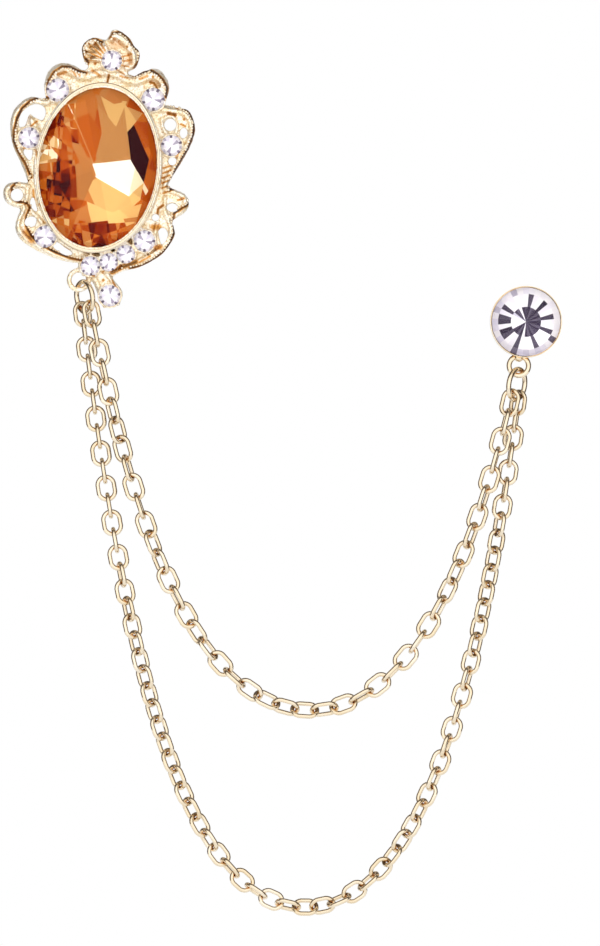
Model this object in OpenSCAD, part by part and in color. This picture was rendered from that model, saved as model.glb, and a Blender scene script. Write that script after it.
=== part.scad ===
// Lapel chain: an oval stone brooch and a round stud, joined by two hanging chains.
// Millimetres, +Z up, front towards -Y. The origin is on the brooch's pin, where it holds the cloth.

/* [Oval stone] */
// Width of the oval stone at its girdle
stone_w = 18.3; // [15:0.1:22]
// Length of the oval stone at its girdle
stone_l = 24.8; // [21:0.1:30]
// Height of the crown above the girdle
crown_h = 2.3; // [1.4:0.1:3.4]
// Depth of the pavilion under the girdle
pavilion_h = 2.6; // [1.8:0.1:3.6]
// Thickness of the oval stone's girdle
girdle_h = 0.4; // [0.2:0.05:0.8]

/* [Bezel and casting] */
// Wall of the smooth bezel round the oval stone
bezel_wall = 0.45; // [0.3:0.05:0.8]
// Reach of the bezel's lip over the girdle
bezel_lip = 0.25; // [0.1:0.05:0.4]
// Thickness of the bezel's lip
lip_t = 0.3; // [0.2:0.05:0.5]
// Metal left behind the oval stone
floor_h = 0.7; // [0.4:0.05:1.2]
// Thickness of the pierced plate behind the scrolls
web_h = 1.2; // [0.9:0.05:1.5]
// Breadth of a plain cast scroll
scroll_w = 1.2; // [1:0.05:1.5]
// Thickness of the casting at the crest of a scroll
cast_h = 2; // [1.7:0.1:2.6]

/* [Small crystals] */
// Diameter of a small round crystal
crystal_d = 3; // [2.6:0.05:3.4]
// Wall of a crystal's cup
cup_wall = 0.26; // [0.2:0.02:0.4]
// Height of the crystals' girdles above the flat back
crystal_seat_h = 2.15; // [1.9:0.05:2.6]
// Diameter of a prong's bead
prong_d = 0.4; // [0.3:0.02:0.5]

/* [Loops and rings] */
// Outer diameter of the cast loop under the brooch and of the loop soldered to the stud
loop_d = 3.75; // [3.4:0.05:4.4]
// Thickness of the two loops
loop_wire = 0.8; // [0.6:0.05:1]
// Height of both loops' middles above the flat backs
loop_h = 1; // [0.8:0.05:1.4]
// Outer diameter of the two jump rings
ring_d = 5.5; // [5.3:0.1:6.4]
// Wire of the two jump rings
ring_wire = 0.8; // [0.6:0.05:0.95]
// Turn of the jump rings' planes from the picture plane, in degrees
ring_turn = 58; // [52:1:68]

/* [Chains] */
// Links in the outer, longer strand
outer_links = 72; // [66:2:80]
// Links in the inner, shorter strand
inner_links = 45; // [41:2:49]
// Length over all of an outer strand link
outer_link_l = 4.15; // [3.95:0.01:4.35]
// Length over all of an inner strand link
inner_link_l = 4.49; // [4.25:0.01:4.65]
// Width over all of a link
link_w = 3.2; // [2.9:0.05:3.5]
// Wire of the links
link_wire = 0.68; // [0.56:0.02:0.74]
// Play between two links that hang in each other
link_play = 0.12; // [0.1:0.01:0.2]

/* [Stud] */
// Diameter of the stud's crystal
stud_crystal_d = 10; // [8:0.1:12]
// Wall of the stud's cup
stud_wall = 0.35; // [0.25:0.05:0.6]
// Height of the stud's cup from its flat back to its rim
stud_cup_h = 4.4; // [3.8:0.1:5.6]
// Diameter of the stud's post
post_d = 1.1; // [0.8:0.05:1.6]
// Length of the stud's post behind its pad
post_l = 8; // [6:0.5:12]
// Diameter of the pad that carries the post
pad_d = 5; // [3:0.5:7]

/* [Brooch pin] */
// Length of the pin's back plate
plate_l = 17; // [13:0.5:20]
// Breadth of the pin's back plate
plate_w = 2.8; // [2:0.1:4]
// Thickness of the pin's back plate and of the stud's pad
plate_t = 0.7; // [0.4:0.05:1]
// Diameter of the pin's stem
stem_d = 0.9; // [0.6:0.05:1.2]
// Distance of the stem from the back plate
stem_gap = 0.9; // [0.7:0.1:1.6]
// Height of the pin above the middle of the oval stone
pin_rise = 4; // [1:0.5:6]

/* [Hanging] */
// Distance of the stud to the right of the oval stone
stud_right = 65; // [55:0.5:75]
// Distance of the stud below the oval stone
stud_drop = 23.4; // [15:0.2:30]
// Lean of the brooch to the right, in degrees
brooch_lean = 6.5; // [0:0.5:12]
// Swing of the stud's loop towards the brooch, in degrees
stud_swing = 8.8; // [0:0.2:20]

/* [Hidden] */

// Play between a stone and its setting, and between a back and the plate behind it
fit = 0.1;
// Steps round a true circle, and round a small cast or cut one
round = 40;
few = 12;

gold = "#d8b765";
pale_gold = "#e6cf8e";
amber = "#b5611c";
clear = "#e9e6f0";
steel = "#b9bcc0";

// Heights above the flat back of the brooch
stone_seat_h = floor_h + fit + pavilion_h;
lip_under = stone_seat_h + girdle_h + 7.5 * bezel_lip * crown_h / stone_w + 1.5 * fit;
bezel_top = lip_under + lip_t;
rim_w = stone_w + 2 * (fit + bezel_wall);
rim_l = stone_l + 2 * (fit + bezel_wall);
stem_h = fit + plate_t + stem_gap + stem_d / 2;

// Crystals: name, angle round the oval, reach in rim sizes, size in crystal_d
CRYSTALS = [
    ["top_crystal", 89, 1.27, 0.94],
    ["left_shoulder_crystal", 132, 1.15, 1.08],
    ["right_shoulder_crystal", 50, 1.14, 1.08],
    ["left_crystal", 167, 1.16, 0.98],
    ["right_crystal", 18, 1.16, 0.98],
    ["lower_left_crystal", 231, 1.12, 1.03],
    ["arc_crystal_1", 272.5, 1.155, 0.9],
    ["arc_crystal_2", 287, 1.135, 0.85],
    ["arc_crystal_3", 301, 1.13, 0.86],
    ["arc_crystal_4", 317, 1.16, 1],
    ["tip_crystal", 285.5, 1.53, 1]];

// Edge of the pierced plate. Each row: angle round the oval, reach in rim sizes
RIGHT_EAR_EDGE = [[-9, 1.11], [-1, 1.14], [6, 1.25], [12, 1.36], [17, 1.46], [20, 1.53],
    [24, 1.56], [30, 1.54], [33, 1.48], [36, 1.38], [39, 1.3], [42, 1.24]];
RIGHT_SHOULDER_EDGE = [[45, 1.28], [46, 1.36], [48, 1.42], [52, 1.45], [56, 1.46], [60, 1.43],
    [63, 1.37], [65, 1.29], [68, 1.21], [72, 1.16]];
SHELL_EDGE = [[75, 1.17], [76, 1.22], [72, 1.28], [71.5, 1.36], [72, 1.44], [74, 1.49], [77, 1.51],
    [80, 1.57], [85, 1.62], [89, 1.64], [91.5, 1.62], [92, 1.56], [93.5, 1.51], [98, 1.53],
    [102, 1.55], [107, 1.51], [109, 1.44], [108.5, 1.32], [106, 1.23]];
LEFT_SHOULDER_EDGE = [[108, 1.19], [112, 1.21], [116, 1.27], [120, 1.36], [124, 1.41], [129, 1.42],
    [133, 1.39], [136, 1.33], [138, 1.25], [140, 1.18]];
LEFT_EAR_EDGE = [[143, 1.2], [145, 1.27], [146, 1.34], [149, 1.42], [154, 1.49], [159, 1.53],
    [164, 1.51], [168, 1.46], [173, 1.39], [178, 1.28], [183, 1.2], [188, 1.13], [194, 1.1]];
LEFT_LOOP_EDGE = [[195, 1.14], [193, 1.23], [192, 1.35], [193, 1.45], [196, 1.5], [200, 1.48],
    [203, 1.41], [206, 1.29]];
LEFT_WAVE_EDGE = [[209, 1.31], [212, 1.4], [215, 1.44], [219, 1.44], [223, 1.41], [231, 1.33],
    [238, 1.27], [247, 1.21], [258, 1.16], [263, 1.14]];
TIP_EDGE = [[263, 1.2], [266, 1.24], [272, 1.26], [276, 1.32], [278, 1.43], [279, 1.58], [284, 1.64],
    [289, 1.64], [292, 1.59], [292, 1.52], [290, 1.43], [287, 1.34], [290, 1.3], [297, 1.3]];
RIGHT_WAVE_EDGE = [[304, 1.35], [310, 1.39], [316, 1.43], [322, 1.47], [329, 1.48], [333, 1.47],
    [335, 1.41], [337, 1.34]];
RIGHT_LOOP_EDGE = [[341, 1.41], [345, 1.49], [349, 1.5], [351, 1.4], [352, 1.3], [350, 1.2]];
EDGE = concat(RIGHT_EAR_EDGE, RIGHT_SHOULDER_EDGE, SHELL_EDGE, LEFT_SHOULDER_EDGE, LEFT_EAR_EDGE,
    LEFT_LOOP_EDGE, LEFT_WAVE_EDGE, TIP_EDGE, RIGHT_WAVE_EDGE, RIGHT_LOOP_EDGE);

// Pierced holes of free shape. Each row: angle round the oval, reach in rim sizes
LEAF_HOLE = [[146, 1.13], [147, 1.22], [149, 1.29], [152, 1.35], [156, 1.4], [160, 1.41], [164, 1.36],
    [162, 1.28], [158, 1.285], [155, 1.28], [155, 1.21], [154, 1.12], [153, 1.07], [149, 1.07]];
WAIST_HOLE = [[175, 1.21], [173, 1.14], [173, 1.07], [176.5, 1.055], [180, 1.07], [179, 1.13]];
MOON_HOLE = [[207, 1.125], [204, 1.09], [204, 1.045], [209, 1.04], [214, 1.045], [212, 1.095]];
WEDGE_HOLE = [[215, 1.29], [213, 1.22], [215, 1.135], [218, 1.105], [220.5, 1.17], [218.5, 1.25]];
RIM_HOLE = [[238, 1.08], [241, 1.045], [248, 1.04], [255, 1.045], [256, 1.08], [251, 1.12],
    [244, 1.13], [239.5, 1.13]];
WAVE_HOLE = [[328, 1.23], [331.5, 1.27], [331.5, 1.35], [329, 1.4], [325, 1.4], [324.5, 1.35]];
FREE_HOLES = [LEAF_HOLE, WAIST_HOLE, MOON_HOLE, WEDGE_HOLE, RIM_HOLE, WAVE_HOLE];
// Round and oval holes: angle, reach, width and height in scroll_w
ROUND_HOLES = [[30, 1.205, 1.6, 1.6], [22.5, 1.37, 1, 1.4], [9, 1.155, 1.1, 1.1],
    [199, 1.29, 1.65, 1.65], [343.5, 1.275, 1.5, 1.15], [333, 1.1, 1, 0.9]];

// Raised scrolls. Each row: angle round the oval, reach in rim sizes,
// breadth in scroll_w, height in cast_h
LEFT_EAR = [[141, 1.12, 1.3, 0.8], [145, 1.2, 1.1, 0.95], [149, 1.36, 1, 1], [154, 1.43, 1, 1],
    [159, 1.47, 1, 1], [164, 1.45, 1, 1], [169, 1.38, 1.05, 1], [174, 1.3, 1.05, 1],
    [179, 1.2, 1, 0.95], [185, 1.12, 0.9, 0.9], [191, 1.075, 0.7, 0.8]];
LEFT_EAR_LEAF = [[162, 1.05, 1.6, 0.8], [159, 1.15, 1.4, 0.95], [157, 1.22, 0.9, 0.9],
    [155.5, 1.27, 0.4, 0.65]];
RIGHT_EAR = [[42, 1.15, 1.3, 0.9], [37, 1.27, 1, 0.95], [32.5, 1.42, 0.9, 1], [28, 1.49, 0.9, 1],
    [23, 1.5, 0.85, 1], [18, 1.44, 0.85, 1], [12, 1.31, 0.9, 1], [5, 1.18, 0.9, 0.95],
    [-2, 1.09, 0.9, 0.9], [-9, 1.065, 0.7, 0.8]];
RIGHT_EAR_CURL = [[36, 1.12, 0.7, 0.75], [34, 1.27, 0.7, 0.85], [28, 1.3, 0.7, 0.85],
    [23.5, 1.24, 0.7, 0.85], [25, 1.13, 0.7, 0.85], [31, 1.09, 0.7, 0.8], [37, 1.11, 0.6, 0.75]];
LEFT_LOOP = [[197, 1.07, 1.1, 0.75], [194.5, 1.2, 0.85, 0.9], [193.5, 1.33, 0.8, 1],
    [195, 1.43, 0.8, 1], [199, 1.44, 0.8, 1], [203, 1.35, 0.8, 1], [205, 1.24, 0.8, 1],
    [203, 1.15, 0.8, 0.9], [197, 1.12, 0.8, 0.8]];
LEFT_WAVE = [[207, 1.2, 0.8, 0.85], [211, 1.32, 0.75, 1], [214.5, 1.39, 0.8, 1], [218.5, 1.38, 0.85, 1],
    [223, 1.35, 0.9, 1], [230, 1.28, 0.9, 1], [238, 1.22, 0.85, 1], [247, 1.165, 0.8, 1],
    [257, 1.12, 0.8, 0.95], [265, 1.08, 0.9, 0.85]];
LEFT_WAVE_BAR = [[209, 1.16, 0.8, 0.85], [217, 1.08, 0.8, 0.85], [224, 1.05, 0.9, 0.8]];
ARC = [[265, 1.09, 1.2, 0.75], [272, 1.15, 1.8, 0.75], [287, 1.14, 1.8, 0.75], [301, 1.15, 1.8, 0.75],
    [312, 1.17, 2, 0.75], [321, 1.15, 1.8, 0.75]];
RIGHT_WAVE = [[-22, 1.22, 0.8, 0.9], [-26, 1.38, 0.8, 1], [-30.5, 1.425, 0.85, 1], [-37, 1.41, 0.85, 1],
    [-44, 1.37, 0.9, 1], [-52, 1.31, 0.9, 1], [-59, 1.27, 0.8, 0.95], [-65, 1.25, 0.7, 0.85]];
RIGHT_WAVE_BAR = [[-20, 1.1, 1, 0.8], [-28, 1.15, 0.7, 0.85], [-34, 1.21, 0.7, 0.9],
    [-38, 1.28, 0.7, 0.85], [-39, 1.36, 0.6, 0.8]];
RIGHT_LOOP = [[-8, 1.07, 1, 0.8], [-8.5, 1.2, 0.85, 0.9], [-8.5, 1.33, 0.8, 1], [-10, 1.43, 0.85, 1],
    [-14, 1.44, 0.9, 1], [-19, 1.36, 0.8, 1], [-22, 1.25, 0.8, 0.95], [-19, 1.16, 0.8, 0.85],
    [-12, 1.12, 0.8, 0.8]];
LEFT_SHOULDER = [[104, 1.1, 1.8, 0.85], [112, 1.13, 1.6, 1], [118, 1.24, 1.7, 1.1],
    [124, 1.34, 1.6, 1.15], [130, 1.35, 1.6, 1.15], [135, 1.28, 1.5, 1.1], [139, 1.16, 1.2, 0.9]];
RIGHT_SHOULDER = [[75, 1.1, 1.8, 0.85], [68, 1.14, 1.6, 1], [63, 1.26, 1.7, 1.1],
    [58, 1.36, 1.6, 1.15], [52, 1.38, 1.5, 1.15], [48, 1.32, 1.4, 1.1], [45.5, 1.2, 1.1, 0.9]];
SHELL_BASE = [[108, 1.09, 1.2, 0.8], [100, 1.12, 1.5, 0.9], [90, 1.13, 1.7, 0.95], [80, 1.12, 1.5, 0.9],
    [72, 1.08, 1.2, 0.8]];
SHELL_RIM = [[79, 1.22, 1, 0.95], [74.5, 1.29, 1.1, 1.1], [75, 1.38, 1.2, 1.25], [77.5, 1.44, 1.2, 1.25],
    [81.5, 1.5, 1.25, 1.25], [86, 1.55, 1.25, 1.3], [90, 1.56, 1.1, 1.25], [91.5, 1.49, 1, 1.1]];
// Ribs of the shell's left lobe: angle, reach, breadth in scroll_w
SHELL_RIBS = [[106, 1.3, 0.85], [106, 1.39, 0.85], [104, 1.46, 0.85], [100, 1.49, 0.85],
    [95.5, 1.47, 0.85]];
TIP_LEFT = [[-86, 1.24, 1.1, 0.85], [-82, 1.36, 1, 0.85], [-80.5, 1.46, 0.8, 0.8]];
TIP_RIGHT = [[-76, 1.24, 1, 0.85], [-72, 1.38, 0.6, 0.9], [-69, 1.48, 0.6, 0.9], [-68.5, 1.56, 0.6, 0.9],
    [-71, 1.61, 0.6, 0.8]];
SCROLLS = [LEFT_EAR, LEFT_EAR_LEAF, RIGHT_EAR, RIGHT_EAR_CURL, LEFT_LOOP, LEFT_WAVE, LEFT_WAVE_BAR,
    ARC, RIGHT_WAVE, RIGHT_WAVE_BAR, RIGHT_LOOP, LEFT_SHOULDER, RIGHT_SHOULDER, SHELL_BASE,
    SHELL_RIM, TIP_LEFT, TIP_RIGHT];
// Domed section of a scroll: side in breadths, height in heights
SECTION = [[0.5, 0.35], [0.2, 1], [-0.2, 1], [-0.5, 0.35]];

// Place of the cast loop: angle and reach round the oval
LOOP_SPOT = [265.5, 1.335];
// Turn of the links about their own length. Each row: share of the strand, turn in degrees
OUTER_ROLL = [[0.007, 32], [0.021, 2], [0.19, 0], [0.25, 30], [0.3, 45], [0.42, 40], [0.48, 10],
    [0.51, 18], [0.54, 45], [0.57, 82], [0.61, 62], [0.65, 38], [0.7, 20], [0.75, 6], [0.79, 32],
    [0.83, 46], [0.88, 50], [0.92, 84], [0.98, 90], [0.993, 122]];
INNER_ROLL = [[0.011, 32], [0.033, 2], [0.1, 14], [0.15, 48], [0.19, 74], [0.235, 86], [0.28, 52],
    [0.32, 14], [0.37, 20], [0.41, 66], [0.45, 82], [0.49, 50], [0.57, 38], [0.61, 18], [0.68, 4],
    [0.73, 8], [0.77, 46], [0.81, 28], [0.86, 24], [0.92, 6], [0.967, 0], [0.989, 32]];
// Seats of the strands on a jump ring, in degrees from its lowest point
LEFT_SEAT = 34;
RIGHT_SEAT = 28;
// Drift of a strand away from the other one, in front or behind. Each row: share of the strand, drift
BOW = [[0, 0], [0.5, 0.08], [0.96, 0.14], [1, 0]];

// Point in the brooch's own plane: angle round the oval and reach in rim sizes
function spot(angle, reach) = [reach * rim_w / 2 * cos(angle), reach * rim_l / 2 * sin(angle)];

// Point on the smooth curve through rows a, b, c, d, a share f of the way from b to c
function blend(a, b, c, d, f) = 0.5 * ((2 * b) + (c - a) * f + (2 * a - 5 * b + 4 * c - d) * f * f
    + (3 * b - a - 3 * c + d) * f * f * f);
function smooth(rows, n) = let (m = len(rows) - 1)
    [for (i = [0:m - 1], j = [0:n - 1])
        blend(rows[max(i - 1, 0)], rows[i], rows[i + 1], rows[min(i + 2, m)], j / n), rows[m]];

// The same curve closed on itself
function closed(rows, n) = let (m = len(rows))
    [for (i = [0:m - 1], j = [0:n - 1])
        blend(rows[(i + m - 1) % m], rows[i], rows[(i + 1) % m], rows[(i + 2) % m], j / n)];

// Value between the rows of a two-column table
function between(table, x, i = 0) = i > len(table) - 2 ? table[i][1]
    : x < table[i + 1][0]
        ? table[i][1] + (table[i + 1][1] - table[i][1]) * (x - table[i][0])
            / (table[i + 1][0] - table[i][0])
        : between(table, x, i + 1);

// Carries a shape from the brooch's own frame, flat back down, to where the brooch hangs
module on_brooch() {
    rotate([90, 0, 0]) rotate([0, 0, -brooch_lean]) translate([0, -pin_rise, stem_h]) children();
}

// Point of the brooch's own plane in the hanging part, at a height above its back
function hung(p, h) = let (x = p[0], y = p[1] - pin_rise)
    [x * cos(brooch_lean) + y * sin(brooch_lean), -stem_h - h,
     -x * sin(brooch_lean) + y * cos(brooch_lean)];

// Cast scroll: the domed section carried along a smooth route, in two halves that overlap, so
// that a scroll may curl round on to itself
module scroll(rows, steps = 2) {
    p = smooth([for (r = rows) concat(spot(r[0], r[1]), [r[2] * scroll_w, r[3] * cast_h])], steps);
    m = len(p);
    middle = floor(m / 2);
    q = len(SECTION);
    for (part = [[0, middle + 1], [middle, m - 1]]) {
        points = [for (i = [part[0]:part[1]])
            let (d = p[min(i + 1, m - 1)] - p[max(i - 1, 0)], n = norm([d[0], d[1]]))
            for (s = SECTION)
                [p[i][0] - d[1] / n * s[0] * p[i][2], p[i][1] + d[0] / n * s[0] * p[i][2], p[i][3] * s[1]]];
        last = part[1] - part[0];
        faces = [[for (j = [0:q - 1]) j],
            for (i = [0:last - 1], j = [0:q - 1])
                [i * q + j, (i + 1) * q + j, (i + 1) * q + (j + 1) % q, i * q + (j + 1) % q],
            [for (j = [q - 1:-1:0]) last * q + j]];
        polyhedron(points, faces, convexity = 4);
    }
}

// Flat pierced plate that carries the scrolls
module web() {
    linear_extrude(web_h) polygon([for (r = smooth(EDGE, 2)) spot(r[0], r[1])]);
}

module holes() {
    translate([0, 0, -1]) for (rows = FREE_HOLES)
        linear_extrude(cast_h + 3) polygon([for (r = closed(rows, 2)) spot(r[0], r[1])]);
    for (row = ROUND_HOLES) {
        place = spot(row[0], row[1]);
        translate([place[0], place[1], -1])
            oval(row[2] * scroll_w, row[3] * scroll_w, cast_h + 3, few);
    }
}

// Rib of the shell: a rounded ray from the top crystal towards its tip
module rib(row) {
    root = spot(CRYSTALS[0][1], CRYSTALS[0][2]);
    tip = spot(row[0], row[1]);
    breadth = row[2] * scroll_w;
    hull() {
        translate([root[0], root[1], 0]) cylinder(d = 0.5 * breadth, h = 0.9 * cast_h, $fn = 6);
        translate([root[0] + 0.75 * (tip[0] - root[0]), root[1] + 0.75 * (tip[1] - root[1]), 0])
            cylinder(d1 = breadth, d2 = 0.3 * breadth, h = 1.3 * cast_h, $fn = 8);
        translate([tip[0], tip[1], 0]) cylinder(d1 = breadth, d2 = 0.5 * breadth, h = cast_h, $fn = 8);
    }
}

module oval(w, l, h, sides = 48, turn = 0) {
    linear_extrude(h) scale([w, l]) rotate(turn) circle(d = 1, $fn = sides);
}

// Bezel wall with its lip rounded off outside, still solid inside
module bezel_blank() {
    bevel = 0.4 * bezel_wall;
    oval(rim_w, rim_l, bezel_top - bevel);
    oval(rim_w - bevel, rim_l - bevel, bezel_top - 0.35 * bevel);
    oval(rim_w - 2.4 * bevel, rim_l - 2.4 * bevel, bezel_top);
}

// Space for the oval stone: its pavilion and girdle, and the mouth inside the lip
module bezel_space() {
    seat = 2 * fit + 0.03;
    translate([0, 0, floor_h]) oval(stone_w + seat, stone_l + seat, lip_under - floor_h);
    translate([0, 0, lip_under - fit])
        oval(stone_w - 2 * bezel_lip, stone_l - 2 * bezel_lip, bezel_top);
}

// Cup of one small crystal, drilled afterwards
module cup(row) {
    d = row[3] * crystal_d / cos(180 / few) + 2 * (fit + cup_wall);
    place = spot(row[1], row[2]);
    translate([place[0], place[1], 0]) cylinder(d1 = 0.94 * d, d2 = d, h = crystal_seat_h + 0.1, $fn = few);
}

module cup_space(row) {
    d = row[3] * crystal_d / cos(180 / few) + 2 * fit;
    place = spot(row[1], row[2]);
    translate([place[0], place[1], crystal_seat_h - 0.5 * d]) cylinder(d = d, h = d, $fn = few);
}

// Four short prongs round a crystal
module prongs(row) {
    r = row[3] * crystal_d / 2;
    place = spot(row[1], row[2]);
    translate([place[0], place[1], crystal_seat_h - 0.5]) for (a = [35, 145, 215, 325])
        rotate([0, 0, row[1] + a]) translate([r + 0.17 + prong_d / 2, 0, 0])
            cylinder(d1 = 1.3 * prong_d, d2 = 0.8 * prong_d, h = 0.95, $fn = 5);
}

// The casting: scrolls, leaves, shell, bezel, cups and the loop for the chains, one piece of metal
module brooch_frame() {
    eye = spot(LOOP_SPOT[0], LOOP_SPOT[1]);
    color(gold) on_brooch() {
        difference() {
            union() {
                difference() {
                    union() {
                        web();
                        for (rows = SCROLLS) scroll(rows);
                        for (row = SHELL_RIBS) rib(row);
                    }
                    holes();
                    translate([eye[0], eye[1], -1])
                        cylinder(d = loop_d - 1.6 * loop_wire, h = cast_h + 3, $fn = 24);
                }
                for (row = CRYSTALS) cup(row);
                bezel_blank();
                translate([eye[0], eye[1], loop_h]) loop();
            }
            bezel_space();
            for (row = CRYSTALS) cup_space(row);
        }
        for (row = CRYSTALS) prongs(row);
    }
}

// Round loop of the common loop wire, flat in its own plane
module loop() {
    rotate_extrude($fn = 24) translate([(loop_d - loop_wire) / 2, 0]) circle(d = loop_wire, $fn = 8);
}

// Oval faceted stone: table, two rows of crown facets, girdle and a blunt pavilion
module oval_stone() {
    color(amber) on_brooch() translate([0, 0, stone_seat_h]) hull() {
        translate([0, 0, girdle_h + crown_h - 0.01]) oval(0.5 * stone_w, 0.56 * stone_l, 0.01, 8);
        translate([0, 0, girdle_h + 0.6 * crown_h])
            oval(0.84 * stone_w, 0.87 * stone_l, 0.01, 16, 11.25);
        oval(stone_w, stone_l, girdle_h, 32);
        translate([0, 0, -0.55 * pavilion_h]) oval(0.72 * stone_w, 0.74 * stone_l, 0.01, 16);
        translate([0, 0, -pavilion_h]) oval(0.16 * stone_w, 0.3 * stone_l, 0.01, 8);
    }
}

// Round brilliant: table, star points, girdle and a pointed pavilion, girdle at zero
module brilliant(d, table, crown, pavilion) {
    hull() {
        translate([0, 0, crown - 0.01]) cylinder(d = table * d, h = 0.01, $fn = 8);
        translate([0, 0, 0.55 * crown]) rotate([0, 0, 22.5]) cylinder(d = 0.84 * d, h = 0.01, $fn = 8);
        translate([0, 0, -0.03 * d]) cylinder(d = d, h = 0.03 * d, $fn = few);
        translate([0, 0, -pavilion]) cylinder(d = 0.04 * d, h = 0.01, $fn = 8);
    }
}

module crystal(row) {
    d = row[3] * crystal_d;
    place = spot(row[1], row[2]);
    color(clear) on_brooch() translate([place[0], place[1], crystal_seat_h])
        rotate([0, 0, row[1]]) brilliant(d, 0.56, 0.17 * d, 0.42 * d);
}

// Pin finding in one plain piece: plate, knuckle, stem and catch
module brooch_pin() {
    knuckle_d = 2 * (stem_gap + stem_d / 2);
    stem_l = plate_l - 0.5 * plate_w;
    axis = -stem_gap - stem_d / 2;
    color(steel) on_brooch() translate([0, pin_rise, -fit - plate_t]) {
        linear_extrude(plate_t) union() {
            square([plate_l - plate_w, plate_w], center = true);
            for (s = [-1, 1]) translate([s * (plate_l - plate_w) / 2, 0]) circle(d = plate_w, $fn = round);
        }
        translate([(plate_l - plate_w) / 2, 0, axis + 0.05]) rotate([90, 0, 0])
            cylinder(d = knuckle_d + 0.1, h = 0.8 * plate_w, center = true, $fn = round);
        translate([(plate_l - plate_w) / 2 - stem_l, 0, axis]) rotate([0, 90, 0])
            cylinder(d = stem_d, h = stem_l, $fn = round);
        // catch, an open hook under the stem's point
        translate([-(plate_l - plate_w) / 2 - 0.5, 0, axis]) rotate([0, 90, 0]) rotate([0, 0, -90])
            linear_extrude(1.6) catch_outline();
    }
}

// Outline of the catch: a ring open on one side, with its foot in the plate
module catch_outline() {
    inner = stem_d / 2 + 0.25;
    outer = stem_gap + stem_d / 2 + 0.1;
    difference() {
        circle(r = outer, $fn = round);
        circle(r = inner, $fn = round);
        translate([0.2, -outer * 0.55]) square([outer * 2, outer * 0.7]);
    }
}

// Jump ring held in a loop: where its middle hangs, and the turn of its plane
ring_r = (ring_d - ring_wire) / 2;
eye_drop = loop_d / 2 - loop_wire - ring_wire / 2 - 1.5 * fit;
eye_at = hung(spot(LOOP_SPOT[0], LOOP_SPOT[1]), loop_h);
left_ring_lean = -8;
left_lead = 0.4;
left_ring_at = eye_at + [0.36, 0, -0.34] + on_ring([0, 0, 0], -ring_turn, left_ring_lean,
    asin(left_lead / ring_r));

stone_at = hung([0, 0], 0);
stud_at = stone_at + [stud_right, 0, -stud_drop];
stud_d = stud_crystal_d + 2 * (fit + stud_wall);
stud_eye_r = stud_d / 2 + loop_d / 2 - loop_wire * 0.75;
stud_eye_at = stud_at + [-stud_eye_r * sin(stud_swing), -loop_h, -stud_eye_r * cos(stud_swing)];
right_ring_lean = 8;
right_ring_at = stud_eye_at + [-ring_r * sin(right_ring_lean), 0,
    -eye_drop - ring_r * cos(right_ring_lean)];

module jump_ring(at, turn, lean) {
    color(pale_gold) translate(at) rotate([0, lean, 0]) rotate([0, 0, turn]) rotate([90, 0, 0])
        rotate_extrude($fn = 60) translate([ring_r, 0]) circle(d = ring_wire, $fn = round);
}

module brooch_ring() {
    jump_ring(left_ring_at, -ring_turn, left_ring_lean);
}

module stud_ring() {
    jump_ring(right_ring_at, ring_turn, right_ring_lean);
}

// Point on a jump ring's wire, at an angle from its lowest point
function on_ring(at, turn, lean, seat) = let (
        side = ring_r * sin(seat), down = -ring_r * cos(seat),
        x = side * cos(turn), y = side * sin(turn))
    at + [x * cos(lean) + down * sin(lean), y, -x * sin(lean) + down * cos(lean)];

// Catenary between two hooks. It is solved by halving, so a change of any size keeps its length
function sinh(x) = (exp(x) - exp(-x)) / 2;
function cosh(x) = (exp(x) + exp(-x)) / 2;
function asinh(x) = x < 0 ? -asinh(-x) : ln(x + sqrt(x * x + 1));
function halving(ratio, lo, hi, n) = n == 0 ? (lo + hi) / 2
    : let (mid = (lo + hi) / 2)
        sinh(mid) / mid > ratio ? halving(ratio, lo, mid, n - 1) : halving(ratio, mid, hi, n - 1);

// A hanging strand: [start, unit step sideways, parameter, lowest point's distance, its arc length]
function strand(from, to, length) = let (
        flat = [to[0] - from[0], to[1] - from[1]], span = norm(flat), rise = to[2] - from[2],
        u = halving(sqrt(length * length - rise * rise) / span, 0.001, 12, 40),
        a = span / (2 * u), low = span / 2 - a * ln((length + rise) / (length - rise)) / 2)
    [from, flat / span, a, low, a * sinh(low / a)];
function along(line, s) = let (
        a = line[2], t = (s - line[4]) / a, reach = line[3] + a * asinh(t))
    line[0] + [line[1][0] * reach, line[1][1] * reach, a * (sqrt(1 + t * t) - cosh(line[3] / a))];

// One closed link, long along X: two half rounds joined by two short straights
module link(length, width) {
    r = (width - link_wire) / 2;
    straight = length - width;
    for (s = [0, 180]) rotate([0, 0, s]) {
        translate([straight / 2, 0, 0]) rotate([0, 0, -90]) rotate_extrude(angle = 180, $fn = 48)
            translate([r, 0]) circle(d = link_wire, $fn = round);
        translate([-straight / 2, r, 0]) rotate([0, 90, 0])
            cylinder(d = link_wire, h = straight, $fn = round);
    }
}

// A strand of links hung between two hooks, every second link turned a quarter
module chain(line, links, length, roll, side) {
    pitch = length - 2 * link_wire - link_play;
    for (i = [0:links - 1]) {
        p = along(line, i * pitch) + [0, side * between(BOW, i / links), 0];
        q = along(line, (i + 1) * pitch) + [0, side * between(BOW, (i + 1) / links), 0];
        d = q - p;
        turn = between(roll, (i + 0.5) / links) + 90 * (i % 2);
        translate((p + q) / 2)
            rotate([0, -atan2(d[2], norm([d[0], d[1]])), atan2(d[1], d[0])])
            rotate([90 - turn, 0, 0]) link(length, link_w);
    }
}

// Start or end of a strand: a little up its own slope from the ring's wire, so that the end of
// its first link passes over that wire
function hook(at, turn, lean, seat, slope) = let (
        rise = (ring_wire / 2 + link_wire / 2 + link_play) / cos(abs(seat) + 4) + 0.07
            - (link_wire + link_play) / 2)
    on_ring(at, turn, lean, seat) + rise * [sin(slope), 0, cos(slope)];

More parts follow.
